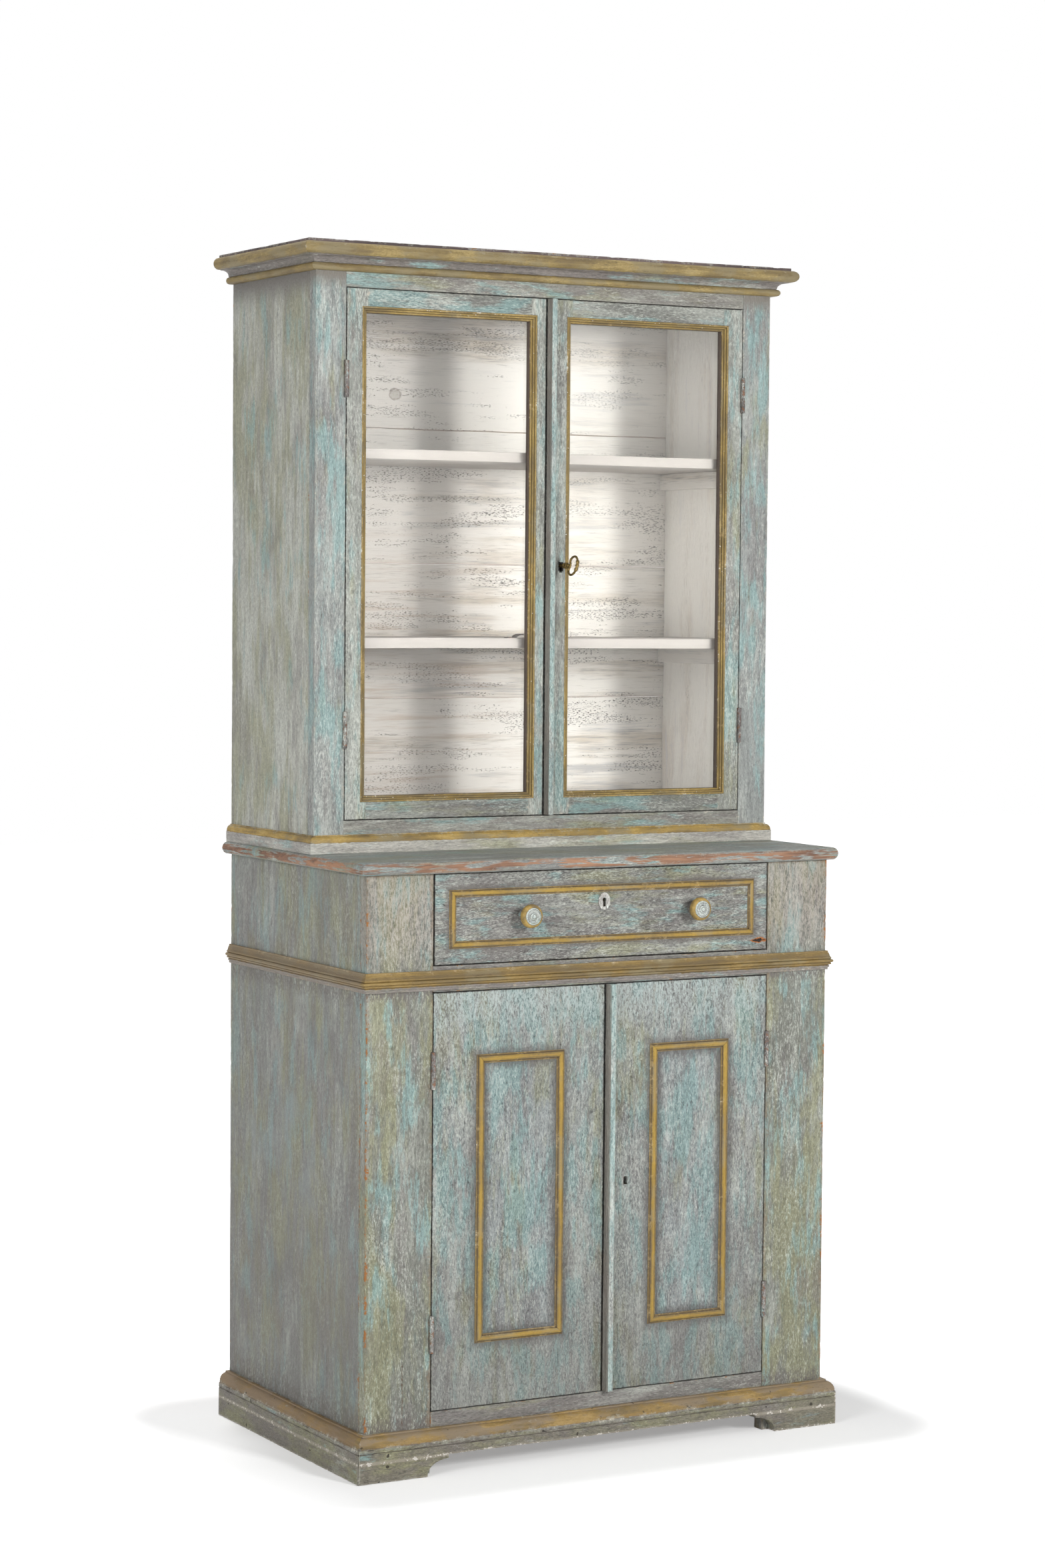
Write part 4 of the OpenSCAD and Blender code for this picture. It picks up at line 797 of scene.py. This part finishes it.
# Painted shade and light on the back: darker towards the left, and lighter over the upper right.
lime.stain("#857d76", lime.step(lime.x, 0.22, -0.12), 0.46)
lime.stain("#f1ece6", lime.times(lime.step(lime.x, 0.05, 0.15), lime.step(lime.z, 1.30, 1.80)), 0.45)
lime.stain("#9c6b43", lime.step(lime.mark("edge"), 0.2, 0.7), 0.6)
along = lime.vector("MULTIPLY", lime.board_place(), level_grain)
brown_streaks = lime.step(lime.noise(along, 75, 4, 0.6), 0.50, 0.64)
low_and_left = lime.times(lime.step(lime.z, 1.75, 1.35), lime.step(lime.x, 0.25, -0.05))
lime.stain("#a28d7c", lime.times(brown_streaks, low_and_left), 0.55)
knot = lime.put("VectorMath", {"operation": "LENGTH"},
                Vector=lime.vector("MULTIPLY", lime.vector("SUBTRACT", lime.place, (-0.1433, 0.0, 1.8645)),
                                   (1.0, 0.0, 1.15))).outputs["Value"]
lime.stain("#8f857c", lime.opposite(lime.above(knot, 0.0120, 0.0015, 0.012)), 0.55)
lime.stain("#6e6259", lime.band(knot, 0.0098, 0.0128, 0.0008, 0.012), 0.5)
back_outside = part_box("upper_back_boards")[1].y
lime.cover(lime.step(lime.y, back_outside - 0.004, back_outside - 0.003),
           lime.group("old softwood", Grain=level_grain))
worn_piece("upper_back_boards", lime.done(0.0008), (0.040, None, None), 0.0010, 0.0008)

# The mouldings of the upper case, the one at its foot and the cornice, and the rough dark board
# that closes the cornice.

paint = distemper("base moulding paint", level_round, "#b3b0a8", 0.12, 0.24, 0.34, 0.36, 0.35, 0.2)
paint.cover(paint.above(paint.z, 1.0668), ochre(paint, level_round, 0.35))
paint.wear(white_ground, 0.7, 0.9)
nailed_moulding("base_moulding", paint)

paint = distemper("cornice paint", level_round, "#77726a", 0.10, 0.15, 0.60, 0.20, 0.3, 0.2)
paint.cover(paint.calc("MAXIMUM", paint.band(paint.z, 2.0, 2.0615), paint.above(paint.z, 2.0742)),
            ochre(paint, level_round, 0.45, Ochre=colour("#8d7a4a"), Light=colour("#b09b68")))
paint.wear(white_ground, 0.9, 0.75, "#a89f8c")
nailed_moulding("cornice_moulding", paint, 0.0012)

wood = Finish("cornice board")
wood.start(wood.group("old softwood", Where=wood.place, Grain=level_grain, Light=colour("#6a5c5a"),
                      Dark=colour("#3b3130")))
wood.wear(colour("#8a6a4c"), 0.8)
worn_piece("cornice_board", wood.done(0.0012), (0.006, 0.020, None), 0.0012, 0.0025)

# The two glazed doors. Each is a mortised frame with a fine reeded moulding round the glass,
# painted ochre, and a pane held from behind by four nailed beads.

key_x, key_z = 0.0241, 1.5500
reed_width, reed_pitch = 0.011, 0.00183


def glazed_door_paint(side, direction, strokes, ground):
    paint = distemper(f"{side} glazed door {direction} paint", strokes, ground,
                      0.36, 0.22, 0.30, 0.50, 0.34, 0.30)
    paint.wear(white_ground, 0.9)
    paint.gap(f"upper_{side}_sash", 0.0014)
    # Painted shade on the reveal beside the reeds, round the glass.
    reveal = paint.near_frame(*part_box(f"upper_{side}_reeds"), 0.0022, 0.0, reed_width)
    paint.stain("#65564c", paint.above(reveal, 0.3, 0.1))
    if side == "right":
        # The keyhole is painted near-black: painted shade for the hole.
        keyhole_shade = paint.calc("MAXIMUM", paint.times(paint.size(paint.less(paint.x, key_x)), 1.6),
                          paint.size(paint.less(paint.z, key_z - 0.001)))
        paint.stain("#1d1815", paint.opposite(paint.above(keyhole_shade, 0.0085, 0.0006, 0.008)), roughness=0.9)
    return paint.done()


def by_direction(made, level_material):
    """Gives the faces of a frame's level rails their own material, with the strokes running level."""
    made.data.materials.append(level_material)
    islands = {}
    marks = made.data.attributes["board"].data
    for v in made.data.vertices:
        n = round(marks[v.index].value)
        low, high = islands.get(n, (v.co.copy(), v.co.copy()))
        islands[n] = (Vector(map(min, low, v.co)), Vector(map(max, high, v.co)))
    for face in made.data.polygons:
        low, high = islands[round(marks[face.vertices[0]].value)]
        if high.x - low.x > high.z - low.z:
            face.material_index = 1


for side in ("left", "right"):
    sash = worn_piece(f"upper_{side}_sash", glazed_door_paint(side, "upright", upright, "#959790"),
                      (0.040, None, 0.005), 0.0008, 0.0012)
    by_direction(sash, glazed_door_paint(side, "level", across, "#888983"))

for side in ("left", "right"):
    low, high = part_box(f"upper_{side}_reeds")
    reed_paints = []
    for direction, strokes in (("upright", upright), ("level", across)):
        paint = Finish(f"{side} reed ochre {direction}")
        paint.start(ochre(paint, strokes, 0.30, Ochre=colour("#957d40"), Light=colour("#b39a5f")))
        across_reeds = paint.plus(paint.off_frame(low, high), paint.times(paint.ragged, 0.0015))
        # Painted shade in the grooves between the reeds.
        from_groove = paint.calc("PINGPONG", across_reeds, reed_pitch)
        paint.stain("#54462b", paint.step(from_groove, 0.0011, 0.0003), 0.60)
        dust = paint.noise(paint.place, 230, 1, 0.5)
        paint.wear(white_ground, 0.2, 0.6, "#bfa878")
        paint.stain("#d9d5cb", paint.step(dust, 0.735, 0.765))
        reed_paints.append(paint.done(0.0020))
    reeds = worn_piece(f"upper_{side}_reeds", reed_paints[0],
                       (0.010, None, 0.010), 0.0003, 0.0006)
    by_direction(reeds, reed_paints[1])

paint = Finish("glazing bead paint")
paint.start(paint.group("old softwood", Where=paint.place, Grain=(0.2, 1.0, 0.2), Light=colour("#5c4c44"),
                        Dark=colour("#2f2725")))
glazing_bead_paint = paint.done()
for node in ("upper_left_beads", "upper_right_beads"):
    worn_piece(node, glazing_bead_paint, (None, None, None), 0.0004, 0.0)

# The panes: old drawn glass, 2.5 mm thick and slightly wavy, laid into the frames from behind and
# held there by the beads. Lamplight passes straight through.


def drawn_pane(node, material):
    low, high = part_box(node)
    columns, rows = 20, 48
    points, faces = [], []
    for face_y, lean in ((low.y, 1), (high.y, -1)):
        for j in range(rows + 1):
            for i in range(columns + 1):
                x, z = low.x + (high.x - low.x) * i / columns, low.z + (high.z - low.z) * j / rows
                inset = min(i, columns - i, 3) / 3 * min(j, rows - j, 3) / 3
                wave = noise.noise((x * 9, face_y * 40, z * 6)) * 0.00035 * inset
                points.append((x, face_y + abs(wave) * lean, z))
    layer = (columns + 1) * (rows + 1)
    for j in range(rows):
        for i in range(columns):
            a = j * (columns + 1) + i
            faces.append((a, a + 1, a + columns + 2, a + columns + 1))
            faces.append((layer + a, layer + a + columns + 1, layer + a + columns + 2, layer + a + 1))
    rim = [i for i in range(columns + 1)] + [j * (columns + 1) + columns for j in range(1, rows + 1)]
    rim += [rows * (columns + 1) + i for i in range(columns - 1, -1, -1)]
    rim += [j * (columns + 1) for j in range(rows - 1, 0, -1)]
    for a, b in zip(rim, rim[1:] + rim[:1]):
        faces.append((b, a, layer + a, layer + b))
    made = mesh_object(node + "_drawn", points, faces)
    made.data.shade_smooth()
    made.data.set_sharp_from_angle(angle=radians(50))
    made.data.materials.append(material)
    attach(made, frame["nodes"][node]["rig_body"])
    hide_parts(node)


pane = Finish("old glass")
pane.colour, pane.roughness = colour("#fcfdfc"), 0.02
pane.height = pane.noise(pane.vector("MULTIPLY", pane.place, (1.0, 1.0, 0.6)), 14, 2, 0.4)
old_glass = pane.done(0.0004, 0.25, Transmission_Weight=1.0, IOR=1.46)
lamp_light = pane.put("BsdfTransparent", Color=(0.97, 0.98, 0.97, 1))
through = pane.put("MixShader")
output = pane.tree.nodes["Material Output"]
pane.tree.links.new(pane.put("LightPath").outputs["Is Shadow Ray"], through.inputs[0])
pane.tree.links.new(pane.tree.nodes["Principled BSDF"].outputs[0], through.inputs[1])
pane.tree.links.new(lamp_light.outputs[0], through.inputs[2])
pane.tree.links.new(through.outputs[0], output.inputs["Surface"])
for node in ("upper_left_glass", "upper_right_glass"):
    drawn_pane(node, old_glass)

# The reeded strips that cover the gap between the glazed doors and between the lower doors. Each
# is one planed length of softwood, nailed along the right-hand door.

for node in ("upper_meeting_strip", "lower_meeting_strip"):
    low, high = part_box(node)
    paint = distemper(f"{node} paint", upright, "#b3bab6", 0.60, 0.10, 0.30, 0.55, 0.6, 0.6)
    paint.wear(white_ground, 1.3, 0.95)
    reeded = paint.step(paint.x, low.x + 0.0036, low.x + 0.0030)
    paint.stain("#a99e93", reeded, 0.75)
    # Painted shade in the grooves of the reeded edge.
    from_groove = paint.calc("PINGPONG", paint.less(high.y, paint.y), 0.0015)
    paint.stain("#3f3832", paint.times(reeded, paint.step(from_groove, 0.0007, 0.0002)), 0.6)
    worn_piece(node, paint.done(), (None, None, 0.006), 0.0006, 0.0012)

# The lower doors: a wide mortised softwood frame round a flush panel, with an ochre bead laid over the joint.
# Beside the bead
# the paint is darkened with violet grey: painted shade.

bead_width = 0.0155
for side in ("left", "right"):
    low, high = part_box(f"lower_{side}_bead")
    paint = distemper(f"{side} door paint", (1.0, 1.0, 0.14), "#a5a9a6", 0.38, 0.28, 0.36, 0.38, 0.18, 0.8, True)
    paint.stain("#d0dcd9", paint.times(paint.above(paint.z, 0.765, 0.03, 0.12),
                                       paint.step(paint.height, 0.40, 0.62)), 0.75)
    # Painted shade: the door is darker towards the bottom.
    paint.stain("#817e77", paint.step(paint.z, 0.50, 0.12), 0.34)
    # Painted shade: violet grey on the frame beside the bead.
    paint.stain("#6d6865", paint.near_frame(low, high, 0.018), 0.6)
    paint.wear(white_ground, 0.8)
    paint.gap(f"lower_{side}_frame", 0.0016)
    worn_piece(f"lower_{side}_frame", paint.done(0.0050),
               (0.040, None, 0.006), 0.0008, 0.0016)
    paint = distemper(f"{side} panel paint", (1.0, 1.0, 0.12), "#a4aaaa", 0.46, 0.20, 0.36, 0.36, 0.18, 0.8, True)
    # Painted shade: violet grey on the panel beside the bead.
    paint.stain("#67625f", paint.near_frame(low, high, 0.018, inset=bead_width), 0.7)
    worn_piece(f"lower_{side}_panel", paint.done(0.0050), (0.040, None, 0.040), 0.0004, 0.0)


def laid_bead(node, width):
    """A half-round bead between two fillets, with a painted highlight of gold along its crest and painted shade
    beside it.
    """
    low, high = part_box(node)
    inset = width / 2
    made = []
    for direction, strokes in (("upright", upright), ("level", across)):
        paint = Finish(f"{node} ochre {direction}")
        paint.start(ochre(paint, strokes, 0.30, Ochre=colour("#92772c"), Light=colour("#ad8f40")))
        off = paint.size(paint.off_frame(low, high, inset))
        paint.stain("#6b5a40", paint.above(off, inset * 0.74, 0.0003, 0.003), 0.55)
        # Painted shade in the dark band beside the crest, and a painted highlight along the crest.
        paint.stain("#493a2b", paint.band(off, inset * 0.52, inset * 0.74, 0.0005, 0.002), 0.85)
        paint.stain("#b5903a", paint.near(off, 0.0, inset * 0.40, 0.006), 0.40)
        paint.wear(white_ground, 0.2, 0.95, "#bfa878")
        made.append(paint.done(0.0018))
    by_direction(worn_piece(node, made[0], (0.008, None, 0.008), 0.0003, 0.0008), made[1])


for node, width in (("lower_left_bead", bead_width), ("lower_right_bead", bead_width), ("drawer_bead", 0.0130)):
    laid_bead(node, width)

# The drawer: a painted softwood front with its own bead, nailed to a box of bare thin boards. One
# corner of the front is broken down to the wood.

low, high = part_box("drawer_bead")
paint = distemper("drawer paint", (0.16, 1.0, 1.0), "#90908b", 0.28, 0.24, 0.36, 0.32, 0.40, 0.8, True)
# Painted shade: darker on the drawer front beside its bead.
paint.stain("#77716c", paint.near_frame(low, high, 0.012), 0.7)
paint.wear(white_ground, 1.1)
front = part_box("drawer_front")[0].y
paint.gap("drawer_front", 0.0016)
paint.cover(paint.step(paint.y, front + 0.004, front + 0.006),
            paint.group("old softwood", Where=paint.place, Grain=level_grain))
broken_x, broken_z = 0.3205, 0.8862
broken = paint.plus(paint.times(paint.size(paint.less(paint.x, broken_x)), 0.30),
                    paint.size(paint.less(paint.z, broken_z)))
# The broken corner is painted: orange wood round a near-black middle that is painted shade for the hollow of the
# break.
paint.stain("#b5713c", paint.opposite(paint.above(broken, 0.0060, 0.0004, 0.010)), roughness=0.8)
paint.stain("#241a14", paint.opposite(paint.above(broken, 0.0042, 0.0004, 0.010)), roughness=0.9)
worn_piece("drawer_front", paint.done(0.0036), (0.008, None, 0.030), 0.0011, 0.0014)
air_below = 0.0006
for node in ("drawer_sides", "drawer_back", "drawer_bottom"):
    board = worn_piece(node, deep_board_wood if node == "drawer_sides" else wide_board_wood,
                       (0.040, 0.040, None), 0.0008, 0.0006, 0.4)
    for v in board.data.vertices:
        if v.co.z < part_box(node)[0].z + 0.003:
            v.co.z += air_below

# The two turned wooden knobs, fixed by a neck in the drawer's front: an ochre rim round a
# grey-blue face with a ring and a button.


def turned(name, centre, profile, segments=48):
    """A piece turned about an axis that points out of the front: (out, radius, material) down its outline."""
    made = bmesh.new()
    rings = []
    for out, radius, _ in profile:
        rings.append([made.verts.new((centre[0] + radius * cos(2 * pi * i / segments), centre[1] - out,
                                      centre[2] + radius * sin(2 * pi * i / segments))) for i in range(segments)])
    for k in range(len(rings) - 1):
        for i in range(segments):
            j = (i + 1) % segments
            face = made.faces.new((rings[k][i], rings[k][j], rings[k + 1][j], rings[k + 1][i]))
            face.material_index = profile[k + 1][2]
    for ring, turn in ((rings[0], -1), (rings[-1], 1)):
        cap = made.faces.new(ring[::turn])
        cap.material_index = profile[0 if turn < 0 else -1][2]
    bmesh.ops.recalc_face_normals(made, faces=made.faces)
    mesh = bpy.data.meshes.new(name)
    made.to_mesh(mesh)
    made.free()
    mesh.shade_smooth()
    mesh.set_sharp_from_angle(angle=radians(60))
    piece = bpy.data.objects.new(name, mesh)
    scene.collection.objects.link(piece)
    return piece


low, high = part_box("drawer_knobs")
knob_r = (high.z - low.z) / 2
knob_places = ((low.x + knob_r, (low.z + high.z) / 2), (high.x - knob_r, (low.z + high.z) / 2))
knob_out = front - low.y
knob_profile = [(-0.015, 0.007, 0), (0.0, 0.0072, 0), (0.0004, 0.0118, 3), (0.0022, 0.0126, 3),
                (0.0038, 0.0112, 3), (0.0060, 0.0088, 3), (0.0110, 0.0086, 3), (0.0150, 0.0108, 3),
                (0.0180, 0.0150, 0), (0.0205, 0.0186, 0), (0.0228, 0.0202, 0), (0.0250, 0.0205, 0),
                (0.0275, 0.0203, 0), (0.0300, 0.0196, 0), (0.0318, 0.0184, 0), (0.0330, 0.0166, 0),
                (0.0334, 0.0152, 0), (0.0328, 0.0146, 3), (0.0336, 0.0140, 2), (0.0346, 0.0134, 2),
                (0.0348, 0.0126, 2), (0.0342, 0.0118, 3), (0.0342, 0.0080, 1), (0.0338, 0.0068, 1),
                (0.0340, 0.0060, 3), (0.0352, 0.0054, 2), (0.0360, 0.0044, 2), (0.0358, 0.0034, 3),
                (0.0368, 0.0028, 2), (0.0376, 0.0018, 2), (0.0380, 0.0006, 2)]
drawn_out, drawn_r = 0.038, 0.0205
knob_profile = [(out * knob_out / drawn_out if out > 0 else out, radius * knob_r / drawn_r, m)
                for out, radius, m in knob_profile]
paint = Finish("knob ochre")
paint.start(ochre(paint, (1.0, 1.0, 1.0), 0.1))
knob_paints = [paint.done(0.0014)]
# The neck and the small grooves of the face take a dark grey: painted shadow under the rim and in the grooves.
for part, *look in (("grey", "#9da3a0", 0.0, 0.0, 0.30, 0.40, 0.4, 0.8),
                    ("pale ring", "#bfcbc8", 0.0, 0.0, 0.0, 0.60, 0.2, 0.8),
                    ("neck", "#56534e", 0.20, 0.20, 0.40, 0.10, 0.4, 0.5)):
    knob_paints.append(distemper("knob " + part, (1.0, 1.0, 1.0), *look).done(0.0014))
knobs = [turned(f"turned_knob_{side}", (x, front, z), knob_profile)
         for side, (x, z) in zip(("left", "right"), knob_places)]
for knob in knobs:
    for material in knob_paints:
        knob.data.materials.append(material)
    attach(knob, "drawer")
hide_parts("drawer_knobs")

# The iron: hinges with five knuckles, lock cases, bolts, the drawer's escutcheon and the shelf
# catch. Sheet and bar, dark and rusted, with traces of the paint.


def iron_finish(name, ground, rust):
    iron = Finish(name)
    iron.start(iron.group("brushed distemper", Where=iron.place, Strokes=(1.0, 1.0, 0.3), Ground=colour(ground),
                          Blue_Share=0.05, Olive_Share=0.0, Violet_Share=0.5, Chalk_Share=0.4, Pit_Share=1.2,
                          Crust=0.5))
    iron.stain("#7a5034", iron.step(iron.noise(iron.place, 150, 4, 0.7), 0.54, 0.60), rust, 0.85)
    return iron.done(0.0005, 0.8, Metallic=0.2)


aged_iron, pale_iron = iron_finish("aged iron", "#4e4945", 0.8), iron_finish("rubbed iron", "#96948f", 0.15)
for node in ("case_hinge_leaves", "hinge_pins", "shelf_catch", "upper_left_leaves", "upper_right_leaves",
             "lower_left_leaves", "lower_right_leaves", "upper_lock_case", "upper_lock_bolt", "lower_lock_case",
             "lower_lock_bolt", "drawer_escutcheon", "drawer_lock_case", "drawer_lock_bolt"):
    frame["nodes"][node].data.materials.clear()
    frame["nodes"][node].data.materials.append(pale_iron if node == "drawer_escutcheon" else aged_iron)

# The brass key in the lock of the right glazed door: a turned stem with collars, a beaded bow
# that dips in at its end, and a plain bit.

brass = Finish("old brass")
brass.colour = brass.mix(brass.step(brass.noise(brass.place, 300, 4, 0.6), 0.36, 0.60), colour("#4a3c22"),
                         colour("#8a7444"))
brass.roughness = brass.step(brass.noise(brass.place, 420, 3, 0.6), -0.2, 1.3)
brass.height = brass.noise(brass.place, 700, 3, 0.6)
old_brass = brass.done(0.0002, 0.5, Metallic=0.85)


def ring_of(made, middle, one_way, other_way, segments=12):
    """One ring of a rounded rod: its middle and two half-widths as vectors."""
    return [made.verts.new(middle + one_way * cos(2 * pi * i / segments) + other_way * sin(2 * pi * i / segments))
            for i in range(segments)]


def join_rings(made, rings, closed=False):
    pairs = list(zip(rings, rings[1:])) + ([(rings[-1], rings[0])] if closed else [])
    for a, b in pairs:
        for i in range(len(a)):
            made.faces.new((a[i], a[i - 1], b[i - 1], b[i]))
    if not closed:
        made.faces.new(rings[0])
        made.faces.new(rings[-1][::-1])


key_made = bmesh.new()
sideways, out, up = Vector((1, 0, 0)), Vector((0, -1, 0)), Vector((0, 0, 1))
stem = [(-0.030, 0.0029), (0.006, 0.0029), (0.0125, 0.0030), (0.0135, 0.0050), (0.0150, 0.0055), (0.0165, 0.0048),
        (0.0172, 0.0036), (0.0180, 0.0050), (0.0205, 0.0058), (0.0235, 0.0052), (0.0255, 0.0038),
        (0.0290, 0.0034), (0.0310, 0.0020)]
join_rings(key_made, [ring_of(key_made, out * u, sideways * r, up * r, 20) for u, r in stem])
bow, bow_points, key_tilt = [], 72, radians(13)
bow_middle, bow_reach, bow_half, dent_deep, spread_of_dent = 0.0430, 0.0155, 0.0168, 0.0066, 0.42
for i in range(bow_points):
    t = 2 * pi * i / bow_points
    turned_back = t if t <= pi else t - 2 * pi
    dent = dent_deep * 2.718 ** (-(turned_back / spread_of_dent) ** 2)
    bow.append(out * (bow_middle - bow_reach * cos(t) + dent) + up * (bow_half * sin(t)))
rings = []
for i, middle in enumerate(bow):
    run = (bow[(i + 1) % bow_points] - bow[i - 1]).normalized()
    t = 2 * pi * i / bow_points
    beads = max(0.0, 1 - min(abs(t - pi), abs(t - pi - 0.42), abs(t - pi + 0.42)) / 0.20)
    thick = 0.0020 + 0.0015 * beads ** 0.5
    rings.append(ring_of(key_made, middle, sideways * (thick * 1.05), run.cross(sideways) * thick))
join_rings(key_made, rings, True)
bit = [key_made.verts.new((x, y, z)) for x in (-0.0013, 0.0013) for y in (0.0170, 0.0290) for z in (-0.0085, 0.0)]
for face in ((0, 1, 3, 2), (4, 6, 7, 5), (0, 4, 5, 1), (2, 3, 7, 6), (0, 2, 6, 4), (1, 5, 7, 3)):
    key_made.faces.new([bit[i] for i in face])
bmesh.ops.recalc_face_normals(key_made, faces=key_made.faces)
face_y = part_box("upper_right_sash")[0].y
key_made.transform(Matrix.Translation((key_x, face_y, key_z)) @ Matrix.Rotation(key_tilt, 4, "Y"))
key_mesh = bpy.data.meshes.new("brass_key")
key_made.to_mesh(key_mesh)
key_made.free()
key_mesh.shade_smooth()
key_mesh.set_sharp_from_angle(angle=radians(50))
key_mesh.materials.append(old_brass)
brass_key = bpy.data.objects.new("brass_key", key_mesh)
scene.collection.objects.link(brass_key)
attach(brass_key, frame["nodes"]["door_key"]["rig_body"])
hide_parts("door_key")
